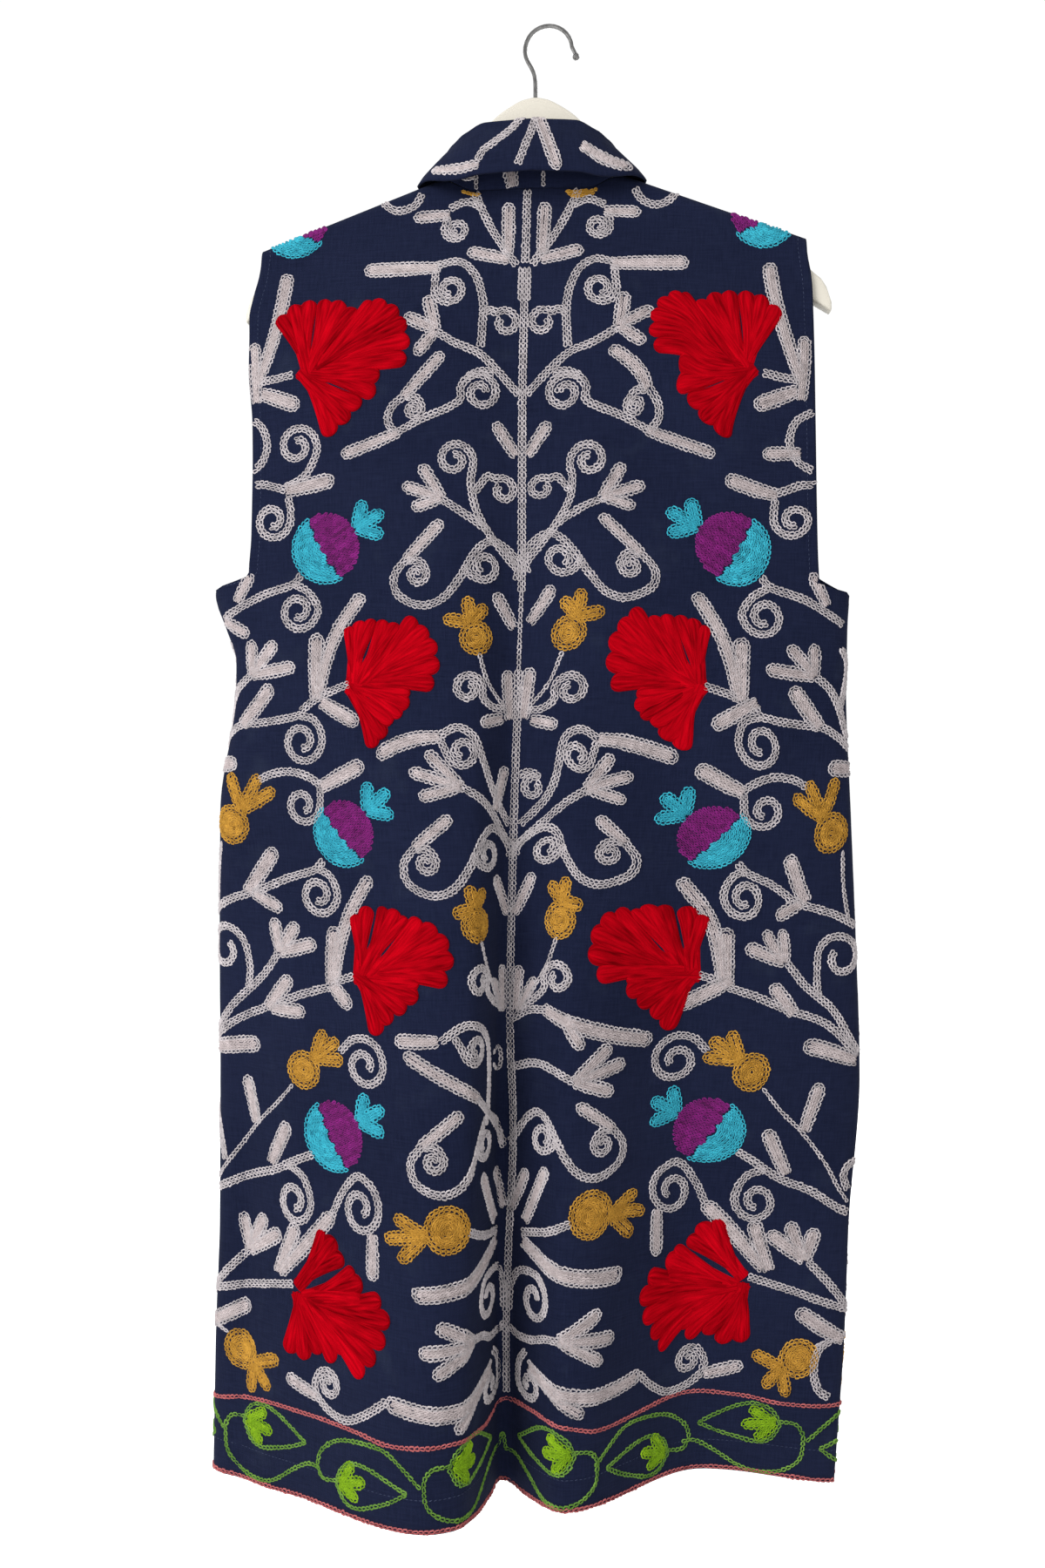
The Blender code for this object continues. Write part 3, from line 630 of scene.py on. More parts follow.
# ---- finishes ------------------------------------------------------------------------------
class Nodes:
    """Short way to lay out a material's nodes."""

    def __init__(self, name: str) -> None:
        """Start a material with a Principled shader.

        Args:
            name: The material's name.
        """
        self.material = bpy.data.materials.new(name)
        self.material.use_nodes = True
        self.tree = self.material.node_tree
        self.shader = self.tree.nodes["Principled BSDF"]

    def add(self, kind: str, **settings: object) -> bpy.types.Node:
        """Add a node with its settings; names of inputs are given with _ for a space.

        Args:
            kind: The node's type.
            settings: Its properties and the values of its inputs.

        Returns:
            The node.
        """
        node = self.tree.nodes.new(kind)
        for key, value in settings.items():
            if hasattr(node, key):
                setattr(node, key, value)
            else:
                node.inputs[key.replace("_", " ")].default_value = value
        return node

    def join(self, output: Socket, target: Socket) -> None:
        """Link an output to an input."""
        self.tree.links.new(output, target)

    def feed(self, socket: Socket, value: object) -> None:
        """Link a socket's value, or set it from a number or a colour."""
        if isinstance(value, Socket):
            self.join(value, socket)
        else:
            socket.default_value = (*value, 1.0) if isinstance(value, tuple) else value

    def ramp(self, source: Socket, stops: tuple[tuple[float, tuple], ...]) -> Socket:
        """Colours read along a scale.

        Args:
            source: The value to read by.
            stops: Places from 0 to 1 with their colours.

        Returns:
            The colour's socket.
        """
        node = self.tree.nodes.new("ShaderNodeValToRGB")
        while len(node.color_ramp.elements) < len(stops):
            node.color_ramp.elements.new(0.5)
        for element, (place, colour) in zip(node.color_ramp.elements, stops):
            element.position = place
            element.color = (*colour, 1.0)
        self.join(source, node.inputs["Fac"])
        return node.outputs["Color"]

    def mix(self, factor: object, first: object, second: object) -> Socket:
        """Mix two colours.

        Args:
            factor: A number or a socket.
            first: A colour or a socket.
            second: A colour or a socket.

        Returns:
            The mixed colour's socket.
        """
        node = self.tree.nodes.new("ShaderNodeMix")
        node.data_type = "RGBA"
        for index, value in ((0, factor), (6, first), (7, second)):
            self.feed(node.inputs[index], value)
        return node.outputs[2]

    def maths(self, operation: str, first: object, second: object) -> Socket:
        """Combine two numbers.

        Args:
            operation: The operation's name.
            first: A number or a socket.
            second: A number or a socket.

        Returns:
            The result's socket.
        """
        node = self.tree.nodes.new("ShaderNodeMath")
        node.operation = operation
        for socket, value in zip(node.inputs, (first, second)):
            self.feed(socket, value)
        return node.outputs[0]

    def blend(self, first: Socket, share: float, second: Socket, other: float) -> Socket:
        """Add two values, each in its share."""
        return self.maths("ADD", self.maths("MULTIPLY", first, share), self.maths("MULTIPLY", second, other))

    def paint(self, colour: Socket) -> None:
        """Give the shader its colour."""
        self.join(colour, self.shader.inputs["Base Color"])

    def noise(self, coordinates: Socket, scale: float, detail: float = 2.0,
              stretch: Triple = (1.0, 1.0, 1.0)) -> Socket:
        """Soft noise over a piece.

        Args:
            coordinates: Where the noise is read.
            scale: Its grain, in features for each metre.
            detail: Octaves.
            stretch: Scale along each axis.

        Returns:
            The noise from 0 to 1.
        """
        mapping = self.tree.nodes.new("ShaderNodeMapping")
        mapping.inputs["Scale"].default_value = stretch
        self.join(coordinates, mapping.inputs["Vector"])
        node = self.add("ShaderNodeTexNoise", Scale=scale, Detail=detail)
        self.join(mapping.outputs["Vector"], node.inputs["Vector"])
        return node.outputs["Fac"]

    def bump(self, height: Socket, distance: float, strength: float) -> None:
        """Raise the surface by a height read over it.

        Args:
            height: Height from 0 to 1.
            distance: Height of 1 in metres.
            strength: Share of it that shows.
        """
        node = self.add("ShaderNodeBump", Distance=distance, Strength=strength)
        self.join(height, node.inputs["Height"])
        self.join(node.outputs["Normal"], self.shader.inputs["Normal"])

    def set(self, **values: object) -> None:
        """Set the shader's own sockets, _ for a space."""
        for key, value in values.items():
            self.shader.inputs[key.replace("_", " ")].default_value = value


@dataclass(frozen=True)
class ClothFinish:
    """Plain-woven slubby cotton with faint chalk left from drawing the pattern."""

    name: str
    deep: Triple = (0.0026, 0.0042, 0.0142)
    light: Triple = (0.0068, 0.0094, 0.0262)
    chalk: Triple = (0.03, 0.04, 0.06)

    def make(self) -> bpy.types.Material:
        """Build the material; it reads the cloth's own UV map, in metres."""
        n = Nodes(self.name)
        cloth = n.add("ShaderNodeUVMap", uv_map="cloth").outputs["UV"]
        warp = n.noise(cloth, 1.0, 3.0, (900.0, 70.0, 1.0))
        weft = n.noise(cloth, 1.0, 3.0, (60.0, 850.0, 1.0))
        broad = n.noise(cloth, 9.0, 3.0)
        slub = n.maths("MULTIPLY", n.maths("ADD", warp, weft), 0.5)
        tone = n.blend(slub, 0.75, broad, 0.25)
        colour = n.ramp(tone, ((0.34, self.deep), (0.66, self.light)))
        smudge = n.noise(cloth, 26.0, 4.0)
        chalked = n.ramp(smudge, ((0.60, (0.0, 0.0, 0.0)), (0.80, (0.16, 0.16, 0.16))))
        colour = n.mix(chalked, colour, self.chalk)
        n.paint(colour)
        threads = n.noise(cloth, 1.0, 1.0, (1500.0, 1500.0, 1.0))
        height = n.blend(slub, 0.7, threads, 0.5)
        n.bump(height, 0.0005, 0.55)
        n.set(Roughness=0.95, Sheen_Weight=0.015, Sheen_Roughness=0.5, Specular_IOR_Level=0.06)
        n.shader.inputs["Sheen Tint"].default_value = (0.55, 0.62, 0.80, 1.0)
        return n.material


@dataclass(frozen=True)
class WoolFinish:
    """Woollen embroidery yarn; each stitch has its own depth of dye."""

    name: str
    dark: Triple
    bright: Triple
    sheen: float = 0.25

    def make(self) -> bpy.types.Material:
        """Build the material; the stitch's own shade comes from the mesh."""
        n = Nodes(self.name)
        place = n.add("ShaderNodeTexCoord").outputs["Object"]
        shade = n.add("ShaderNodeAttribute", attribute_name="shade").outputs["Fac"]
        fluff = n.noise(place, 900.0, 2.0)
        broad = n.noise(place, 60.0, 2.0)
        tone = n.blend(shade, 0.62, fluff, 0.22)
        tone = n.maths("ADD", tone, n.maths("MULTIPLY", broad, 0.18))
        n.paint(n.ramp(tone, ((0.18, self.dark), (0.80, self.bright))))
        n.bump(n.noise(place, 1500.0, 2.0), 0.0004, 0.6)
        n.set(Roughness=0.9, Sheen_Weight=self.sheen, Sheen_Roughness=0.4, Specular_IOR_Level=0.2)
        n.shader.inputs["Sheen Tint"].default_value = (*self.bright, 1.0)
        return n.material


@dataclass(frozen=True)
class SatinFinish(WoolFinish):
    """Long woollen satin stitches laid side by side, read along the piece's own fibres."""

    def make(self) -> bpy.types.Material:
        """Build the material on the UV map that runs across and along the fibres."""
        n = Nodes(self.name)
        fibre = n.add("ShaderNodeUVMap", uv_map="fibre").outputs["UV"]
        shade = n.add("ShaderNodeAttribute", attribute_name="shade").outputs["Fac"]
        strands = n.noise(fibre, 1.0, 2.0, (1100.0, 45.0, 1.0))
        hairs = n.noise(fibre, 1.0, 3.0, (2600.0, 260.0, 1.0))
        tone = n.blend(shade, 0.35, strands, 0.65)
        n.paint(n.ramp(tone, ((0.28, self.dark), (0.68, self.bright))))
        height = n.blend(strands, 0.8, hairs, 0.35)
        n.bump(height, 0.0009, 0.7)
        n.set(Roughness=0.85, Sheen_Weight=self.sheen, Sheen_Roughness=0.35, Specular_IOR_Level=0.0)
        n.shader.inputs["Sheen Tint"].default_value = (*self.bright, 1.0)
        return n.material


@dataclass(frozen=True)
class PaintFinish:
    """Satin paint on the wooden board, faintly brushed and rubbed."""

    name: str = "cream_paint"
    base: Triple = (0.42, 0.395, 0.34)
    worn: Triple = (0.35, 0.32, 0.265)

    def make(self) -> bpy.types.Material:
        """Build the material on the piece's own coordinates."""
        n = Nodes(self.name)
        place = n.add("ShaderNodeTexCoord").outputs["Object"]
        brushed = n.noise(place, 1.0, 3.0, (14.0, 160.0, 220.0))
        patches = n.noise(place, 24.0, 4.0)
        rubbed = n.ramp(patches, ((0.58, (0.0, 0.0, 0.0)), (0.82, (0.5, 0.5, 0.5))))
        n.paint(n.mix(rubbed, self.base, self.worn))
        n.bump(brushed, 0.0003, 0.35)
        n.join(n.maths("ADD", 0.34, n.maths("MULTIPLY", patches, 0.2)), n.shader.inputs["Roughness"])
        return n.material


@dataclass(frozen=True)
class WireFinish:
    """Bright drawn steel wire, a little scratched."""

    name: str = "bright_wire"
    colour: Triple = (0.2, 0.198, 0.195)

    def make(self) -> bpy.types.Material:
        """Build the material on the piece's own coordinates."""
        n = Nodes(self.name)
        place = n.add("ShaderNodeTexCoord").outputs["Object"]
        scratches = n.noise(place, 420.0, 3.0, (1.0, 4.0, 0.6))
        dull = tuple(0.6 * c for c in self.colour)
        n.paint(n.ramp(scratches, ((0.35, dull), (0.7, self.colour))))
        n.join(n.maths("ADD", 0.14, n.maths("MULTIPLY", scratches, 0.2)), n.shader.inputs["Roughness"])
        n.bump(scratches, 0.00008, 0.3)
        n.set(Metallic=1.0)
        return n.material


# ---- stitches ------------------------------------------------------------------------------
class Yarn(Enum):
    """Yarns of the embroidery, each with its finish."""

    PALE = WoolFinish("pale_grey_wool", (0.2, 0.184, 0.19), (0.44, 0.402, 0.412))
    BEIGE = WoolFinish("rose_beige_wool", (0.215, 0.184, 0.184), (0.425, 0.37, 0.37))
    RED = SatinFinish("red_wool", (0.055, 0.0002, 0.001), (0.335, 0.0008, 0.005), 0.0)
    TURQUOISE = WoolFinish("turquoise_wool", (0.0075, 0.126, 0.185), (0.033, 0.345, 0.44))
    PURPLE = WoolFinish("purple_wool", (0.042, 0.002, 0.034), (0.172, 0.008, 0.138))
    GOLD = WoolFinish("gold_wool", (0.16, 0.074, 0.006), (0.43, 0.226, 0.031))
    GREEN = WoolFinish("leaf_green_wool", (0.035, 0.095, 0.01), (0.125, 0.24, 0.036))
    LIME = WoolFinish("lime_wool", (0.06, 0.14, 0.0015), (0.19, 0.335, 0.006))
    SALMON = WoolFinish("salmon_wool", (0.16, 0.03, 0.034), (0.37, 0.1, 0.1))
    NAVY = WoolFinish("navy_thread", (0.010, 0.014, 0.034), (0.035, 0.045, 0.085), 0.1)


class Shape(Enum):
    """How the yarn of a stitch lies: each line is (along, across, thickness) in shares."""

    RING = ((-1.0, 0.0, 0.8), (-0.38, 0.76, 1.0), (0.45, 0.97, 1.0), (0.84, 0.0, 0.95),
            (0.45, -0.97, 1.0), (-0.38, -0.76, 1.0))
    STRAND = ((-1.0, 0.25, 0.3), (0.05, 1.0, 1.0), (1.0, 0.45, 0.3))


STITCH_SINK = 0.15          # how far a stitch's sides reach into the cloth, mm


@dataclass(frozen=True)
class Stitch:
    """How one stitch of a row is shaped, in millimetres."""

    pitch: float
    overlap: float
    width: float
    yarn: float
    height: float
    shape: Shape
    hands: tuple[int, ...] = (1,)

    def model(self) -> tuple[Array, Array]:
        """Points (along, across, up) and faces of one stitch, open where it lies on the cloth.

        Returns:
            The points of its strands, and their four-sided faces.
        """
        closed = self.shape is Shape.RING
        points = []
        faces = []
        for hand in self.hands:
            start = 3 * len(points)
            size = (self.pitch / 2.0 + self.overlap, self.width / 2.0 * hand, 1.0)
            path = np.array(self.shape.value) * size
            flat = path[:, :2]
            if closed:
                run = np.roll(flat, -1, axis=0) - np.roll(flat, 1, axis=0)
            else:
                run = np.gradient(flat, axis=0)
            side = np.stack((-run[:, 1], run[:, 0]), axis=1) / np.hypot(*run.T)[:, None]
            for spot, aside, thick in zip(flat, side, path[:, 2]):
                reach = aside * self.yarn / 2.0 * thick
                points.append(((*(spot + reach), -STITCH_SINK), (*spot, self.height * thick),
                               (*(spot - reach), -STITCH_SINK)))
            count = len(path)
            for k in range(count if closed else count - 1):
                i = start + 3 * k
                j = start + 3 * ((k + 1) % count)
                faces.append((i, i + 1, j + 1, j))
                faces.append((i + 1, i + 2, j + 2, j + 1))
        return np.array(points).reshape(-1, 3), np.array(faces)


ROW_SPACING = 3.15
SCROLL_SPACING = 2.9
PLAIN_STRETCH = 1.15        # stitches of the plainly finished fronts are this much longer
SHADE = 0.55                # middle shade of a stitch, its spread and its row's spread
SHADE_SPREAD = 0.13
ROW_SHADE_SPREAD = 0.07
SWING_SPREAD = 0.10         # how far a stitch turns from its row, radians
SIZE_SPREAD = (0.07, 0.12, 0.12)
CHAIN = Stitch(3.8, 0.5, 2.45, 1.15, 0.95, Shape.RING)
CLOSE_CHAIN = Stitch(3.5, 1.0, 1.35, 1.5, 1.15, Shape.STRAND, (-1, 1))
FILLING = Stitch(3.3, 0.6, 1.7, 1.45, 1.05, Shape.RING)
RUNNING = Stitch(3.4, -0.5, 0.0, 0.7, 0.35, Shape.STRAND)


@dataclass
class Row:
    """One row of stitches along a line of a chart, in millimetres."""

    line: Array
    yarn: Yarn
    stitch: Stitch = CHAIN


def smooth_line(points: tuple, step: float = 1.5, closed: bool = False) -> Array:
    """Smooth line through a few points (centripetal-like Catmull-Rom).

    Args:
        points: The points.
        step: Spacing of the line's points.
        closed: Whether the line returns to its start.

    Returns:
        Points of the line.
    """
    p = np.array(points, float)
    if len(p) == 2 and not closed:
        count = max(2, int(np.hypot(*(p[1] - p[0])) / step))
        return p[0] + (p[1] - p[0]) * np.linspace(0.0, 1.0, count)[:, None]
    if closed:
        p = np.vstack((p[-1], p, p[0], p[1]))
    else:
        p = np.vstack((2 * p[0] - p[1], p, 2 * p[-1] - p[-2]))
    line = []
    for a, b, c, d in zip(p, p[1:], p[2:], p[3:]):
        count = max(2, int(np.hypot(*(c - b)) / step) + 1)
        t = np.linspace(0.0, 1.0, count, endpoint=False)[:, None]
        line.append(0.5 * (2 * b + (c - a) * t + (2 * a - 5 * b + 4 * c - d) * t ** 2
                           + (3 * b - a - 3 * c + d) * t ** 3))
    line.append(p[-2][None])
    return np.vstack(line)


def beside(line: Array, distance: float) -> Array:
    """Line moved sideways by a distance."""
    along = unit(np.gradient(line, axis=0))
    return line + distance * np.stack((-along[:, 1], along[:, 0]), axis=1)


def rows_beside(line: Array, count: int, yarn: Yarn, spacing: float = ROW_SPACING) -> list[Row]:
    """Rows of chain stitch side by side along a line.

    Args:
        line: The middle of the rows.
        count: How many rows.
        yarn: Their yarn.
        spacing: Distance between rows.

    Returns:
        The rows.
    """
    offsets = [(k - (count - 1) / 2.0) * spacing for k in range(count)]
    return [Row(beside(line, offset), yarn) for offset in offsets]


@dataclass(frozen=True)
class Vine:
    """A stem: a line through a few places, worked as rows side by side."""

    points: tuple
    rows_wide: int = 2
    yarn: Yarn = Yarn.PALE

    def rows(self) -> list[Row]:
        """The vine's rows."""
        return rows_beside(smooth_line(self.points), self.rows_wide, self.yarn)


@dataclass(frozen=True)
class Scroll:
    """A stem that ends in a spiral: it leads in, then winds round a centre."""

    lead: tuple
    centre: Pair
    turn: int
    turns: float = 1.25
    end: float = 0.36
    tall: float = 1.0

    def rows(self) -> list[Row]:
        """The scroll's rows; the last place of its lead is where the winding starts."""
        start = np.subtract(self.lead[-1], self.centre) / (1.0, self.tall)
        radius = float(np.hypot(*start))
        angle = math.atan2(start[1], start[0])
        winding = []
        count = max(6, int(self.turns * 12))
        for k in range(1, count + 1):
            share = k / count
            a = angle + self.turn * math.tau * self.turns * share
            r = radius * (1.0 - (1.0 - self.end) * share ** 0.9)
            winding.append((self.centre[0] + r * math.cos(a),
                            self.centre[1] + r * math.sin(a) * self.tall))
        return rows_beside(smooth_line(tuple(self.lead) + tuple(winding)), 2, Yarn.PALE, SCROLL_SPACING)


@dataclass(frozen=True)
class Leaf:
    """A finger-shaped leaf or petal: an outline of chain stitch, filled along its length."""

    base: Pair
    tip: Pair
    width: float = 11.0
    bend: float = 0.0
    yarn: Yarn = Yarn.PALE
    filling: Yarn = Yarn.BEIGE

    def rows(self) -> list[Row]:
        """The leaf's outline and filling."""
        base = np.array(self.base, float)
        tip = np.array(self.tip, float)
        length = float(np.hypot(*(tip - base)))
        along = (tip - base) / length
        aside = np.array((-along[1], along[0]))
        half = self.width / 2.0 - 1.5

        def at(t: float, off: float) -> Array:
            """A place along the leaf and off its middle."""
            return base + along * length * t + aside * (off + self.bend * 4.0 * t * (1.0 - t))

        cap = half / length
        shoulders = (0.0, 0.3, 0.6, 1.0 - cap * 1.25)
        swell = (0.72, 0.95, 1.0, 0.98)
        left = [at(t, half * s) for t, s in zip(shoulders, swell)]
        right = [at(t, -half * s) for t, s in zip(shoulders, swell)]
        outline = left + [at(1.0 - cap * 0.45, half * 0.72), at(1.0 - cap * 0.15, 0.0),
                          at(1.0 - cap * 0.45, -half * 0.72)] + right[::-1]
        rows = [Row(smooth_line(tuple(outline)), self.yarn)]
        inside = half - 2.2
        count = max(1, int(round(2.0 * inside / 2.3)) + 1) if inside > 0.4 else 1
        for k in range(count):
            off = 0.0 if count == 1 else inside * (2.0 * k / (count - 1) - 1.0)
            stop = 1.0 - cap * (0.75 + 0.6 * abs(off) / max(half, 1.0))
            if stop > 0.12:
                middle = [at(t, off * (0.8 + 0.2 * t)) for t in (0.02, 0.35 * stop, 0.7 * stop, stop)]
                rows.append(Row(smooth_line(tuple(middle)), self.filling, FILLING))
        return rows


@dataclass(frozen=True)
class Tulip:
    """Three leaves that spread from one base."""

    base: Pair
    tips: tuple
    width: float = 10.0
    yarn: Yarn = Yarn.PALE
    filling: Yarn = Yarn.BEIGE

    def rows(self) -> list[Row]:
        """The tulip's rows."""
        rows = []
        for tip in self.tips:
            rows += Leaf(self.base, tip, self.width, 0.0, self.yarn, self.filling).rows()
        return rows


@dataclass(frozen=True)
class Bud:
    """A round bud worked in rings, with three petals at its crown."""

    centre: Pair
    radius: float
    neck: Pair
    tips: tuple
    yarn: Yarn = Yarn.GOLD

    def rows(self) -> list[Row]:
        """The bud's rings and petals."""
        rows = []
        reach = self.radius - 1.6
        while reach > 0.8:
            rows.append(Row(self.ring(reach), self.yarn, CHAIN if reach > self.radius - 5 else FILLING))
            reach -= 2.7 if reach > self.radius - 5 else 2.4
        centre = np.array(self.centre, float)
        foot = centre + unit(np.subtract(self.neck, centre)) * (self.radius - 1.5)
        return rows + Tulip(tuple(foot), self.tips, 10.5, self.yarn, self.yarn).rows()

    def ring(self, reach: float) -> Array:
        """One ring round the bud's middle."""
        count = max(6, int(math.tau * reach / 1.6))
        angles = np.linspace(0.0, math.tau, count + 1)
        return np.stack((self.centre[0] + reach * np.cos(angles),
                         self.centre[1] + reach * np.sin(angles)), axis=1)


@dataclass(frozen=True)
class Cap:
    """The part of a round bud that the neck seam leaves showing, in rows along the seam."""

    left: float
    right: float
    depth: float
    rise_from: float = 40.0
    rise: float = 0.34
    yarn: Yarn = Yarn.GOLD

    def rows(self) -> list[Row]:
        """The bud's rows, shorter away from the seam."""
        rows = []
        for drop in np.arange(1.3, self.depth, 1.9):
            half = (self.right - self.left) / 2.0 * math.sqrt(1.0 - 0.85 * (drop / self.depth) ** 2)
            u = (self.left + self.right) / 2.0 + half * np.linspace(-1.0, 1.0, 9)
            v = drop - self.rise * np.clip(u - self.rise_from, 0.0, None)
            rows.append(Row(np.stack((u, v), axis=1), self.yarn, FILLING))
        return rows


@dataclass(frozen=True)
class Pomegranate:
    """A round fruit of two yarns with a three-lobed crown."""

    centre: Pair
    crown: Pair
    radius: float = 26.0
    spacing: float = 2.5
    scallops: int = 5

    def rows(self) -> list[Row]:
        """The fruit's rows: purple towards the crown, turquoise round its other side."""
        centre = np.array(self.centre, float)
        axis = unit(np.subtract(self.crown, centre))
        aside = np.array((-axis[1], axis[0]))
        rows = []
        reach = self.radius - 1.2
        steps = np.arange(-reach, reach + 0.01, self.spacing)
        for off in steps:
            chord = math.sqrt(max(0.0, reach ** 2 - off ** 2))
            edge = self.boundary(off)
            if chord > edge + 2.0:
                line = smooth_line((centre + aside * off + axis * max(edge, -chord),
                                    centre + aside * off + axis * chord))
                rows.append(Row(line, Yarn.PURPLE, FILLING))
        ring = reach
        while ring > 2.0:
            rows += self.crescent(centre, axis, aside, ring)
            ring -= self.spacing
        neck = centre + axis * (self.radius + 1.0)
        for degrees, length in ((-46.0, 21.0), (0.0, 23.5), (46.0, 21.0)):
            swing = math.radians(degrees)
            tip = neck + (axis * math.cos(swing) + aside * math.sin(swing)) * length
            rows += Leaf(tuple(neck), tuple(tip), 11.0, 0.0, Yarn.TURQUOISE, Yarn.TURQUOISE).rows()
        return rows

    def boundary(self, off: float) -> float:
        """Where purple meets turquoise along the axis, in small scallops."""
        share = (off / self.radius + 1.0) * self.scallops
        bulge = 0.16 * self.radius * (1.0 - (off / self.radius) ** 2)
        return 0.10 * self.radius - bulge - 2.8 * abs(math.sin(share * math.pi / 2.0))

    def crescent(self, centre: Array, axis: Array, aside: Array, ring: float) -> list[Row]:
        """The part of one ring that lies on the turquoise side.

        Args:
            centre: Middle of the fruit.
            axis: Direction of its crown.
            aside: Direction across it.
            ring: Radius of the ring.

        Returns:
            No row or one.
        """
        angles = np.linspace(0.0, math.tau, 90)
        off = ring * np.sin(angles)
        up = -ring * np.cos(angles)
        keep = up < np.array([self.boundary(o) for o in off]) - 1.0
        angles = np.concatenate((angles[keep & (angles > math.pi)] - math.tau,
                                 angles[keep & (angles <= math.pi)]))
        if len(angles) < 4:
            return []
        line = centre + np.outer(ring * np.sin(angles), aside) - np.outer(ring * np.cos(angles), axis)
        outer = ring > self.radius - 2.0
        return [Row(line, Yarn.TURQUOISE, CHAIN if outer else FILLING)]


@dataclass
class Pad:
    """A long satin finger of wool: its chart places and how high it stands, in millimetres."""

    places: Array
    height: Array
    shade: float


def turn_of(root: tuple, tip: tuple, other: tuple) -> float:
    """1 if another tip lies to the left of the line from root to tip in the chart, else -1."""
    run = np.subtract(tip, root)
    aside = np.subtract(other, root)
    return 1.0 if run[0] * aside[1] - run[1] * aside[0] > 0.0 else -1.0


@dataclass(frozen=True)
class Carnation:
    """A spread flower in dense wool: petals fan out from their roots, each of satin fingers.

    Each petal is its root and the tips of its fingers.
    """

    petals: tuple
    along: int = 14
    across: int = 7
    lone_half: float = 7.3
    widest_half: float = 8.0
    least_half: float = 4.8
    root_half: float = 5.2
    slim_root_half: float = 3.2

    def pads(self, rng: Rng) -> list[Pad]:
        """The flower's fingers.

        Args:
            rng: Where the unevenness of the hand comes from.

        Returns:
            A pad for each finger.
        """
        pads = []
        for root, tips in self.petals:
            for k, tip in enumerate(tips):
                near = [j for j in (k - 1, k + 1) if 0 <= j < len(tips)]
                gaps = [math.dist(tip, tips[j]) for j in near]
                half = self.lone_half
                inner = 0.0
                if len(near) == 2:
                    half = min(0.37 * sum(gaps), self.widest_half)
                elif near:
                    half = min(0.62 * gaps[0], self.widest_half)
                    inner = turn_of(root, tip, tips[near[0]])
                half = max(half, self.least_half)
                pads.append(self.finger(np.array(root, float), np.array(tip, float), half, inner, rng))
        return pads

    def finger(self, root: Array, tip: Array, half: float, inner: float,
               rng: Rng) -> Pad:
        """One finger of satin stitch.

        Args:
            root: Where it starts.
            tip: Where it ends.
            half: Half its width at the tip.
            inner: Side its petal lies on, 1 or -1, the other being open; 0 in the petal's middle.
            rng: Where the unevenness of the hand comes from.

        Returns:
            The finger.
        """
        root = root - 5.0 * unit(tip - root)
        run = tip - root
        length = float(np.hypot(*run))
        along = run / length
        aside = np.array((-along[1], along[0]))
        t = 1.0 - (1.0 - np.linspace(0.0, 1.0, self.along)) ** 1.9
        q = np.sin(np.linspace(-1.0, 1.0, self.across) * math.pi / 2.0)
        blunt = ((t - 1.0 + 0.9 * half / length) / (0.9 * half / length)).clip(0.0)
        full_width = self.root_half + (half - self.root_half) * t ** 0.8
        slim_width = self.slim_root_half + (half - self.slim_root_half) * t ** 1.5
        open_side = q[None] * inner < 0.0
        width = np.where(open_side, slim_width[:, None], full_width[:, None])
        width = width * np.sqrt(1.0 - blunt ** 2)[:, None]
        bow = (0.02 * inner + rng.uniform(-0.01, 0.01)) * length * np.sin(t * math.pi)
        across = bow[:, None] + width * q[None]
        places = root + (t * length)[:, None, None] * along + across[..., None] * aside
        full = 1.0 + 1.4 * ease(t / 0.75) + rng.uniform(-0.15, 0.25)
        dome = np.clip(1.0 - np.abs(q) ** 2.4, 0.0, 1.0) ** 0.5
        height = full[:, None] * dome[None] * np.sqrt(1.0 - 0.75 * blunt ** 4)[:, None] - 0.3
        return Pad(places, height, float(np.clip(0.5 + rng.normal(0.0, 0.1), 0.1, 0.9)))


@dataclass(frozen=True)
class BorderLeaf:
    """One repeat of the hem border: a lime leaf in a pointed loop, on a waving vine.

    A high leaf has the vine below it and a low one above.
    """

    base: Pair
    heading: int
    high: bool

    def rows(self) -> list[Row]:
        """The loop, its leaf, the vine and the short branch between them."""
        if self.high:
            tilt = 4.0
            tips = ((22, -9), (27, 4), (16, 15))
            vine = ((-19, 9), (-17, 27), (0, 38), (24, 38), (48, 25), (62, 18), (72, 18))
            branch = ((-19, 9), (-13, 1), (0, 0))
        else:
            tilt = -5.0
            tips = ((15, -16), (26, -6), (19, 8))
            vine = ((-19, -6), (-15, -17), (1, -28), (23, -32), (43, -31), (57, -22), (70, -10))
            branch = ((-19, -6), (-14, 2), (0, 0))
        over = ((-1, 2), (5, -9), (17, -14.5), (31, -13), (46, -7), (60, 0))
        under = ((60, 0), (46, 7), (31, 12), (17, 15.5), (6, 13), (-1, 2))
        rows = [Row(smooth_line(self.turned(over, tilt)), Yarn.GREEN),
                Row(smooth_line(self.turned(under, tilt)), Yarn.GREEN),
                Row(smooth_line(self.turned(vine, 0.0)), Yarn.GREEN),
                Row(smooth_line(self.turned(branch, 0.0)), Yarn.GREEN)]
        tips = self.turned(tips, 0.0)
        return rows + Tulip(self.turned(((3, 1),), 0.0)[0], tips, 9.5, Yarn.LIME, Yarn.LIME).rows()

    def turned(self, points: tuple, tilt: float) -> tuple:
        """Points of the repeat turned about its base and set in the chart.

        Args:
            points: Points from the base, heading away from it.
            tilt: Turn in degrees.

        Returns:
            The points in the chart.
        """
        cos = math.cos(math.radians(tilt))
        sin = math.sin(math.radians(tilt))
        return tuple((self.base[0] + self.heading * (x * cos - y * sin), self.base[1] + x * sin + y * cos)
                     for x, y in points)


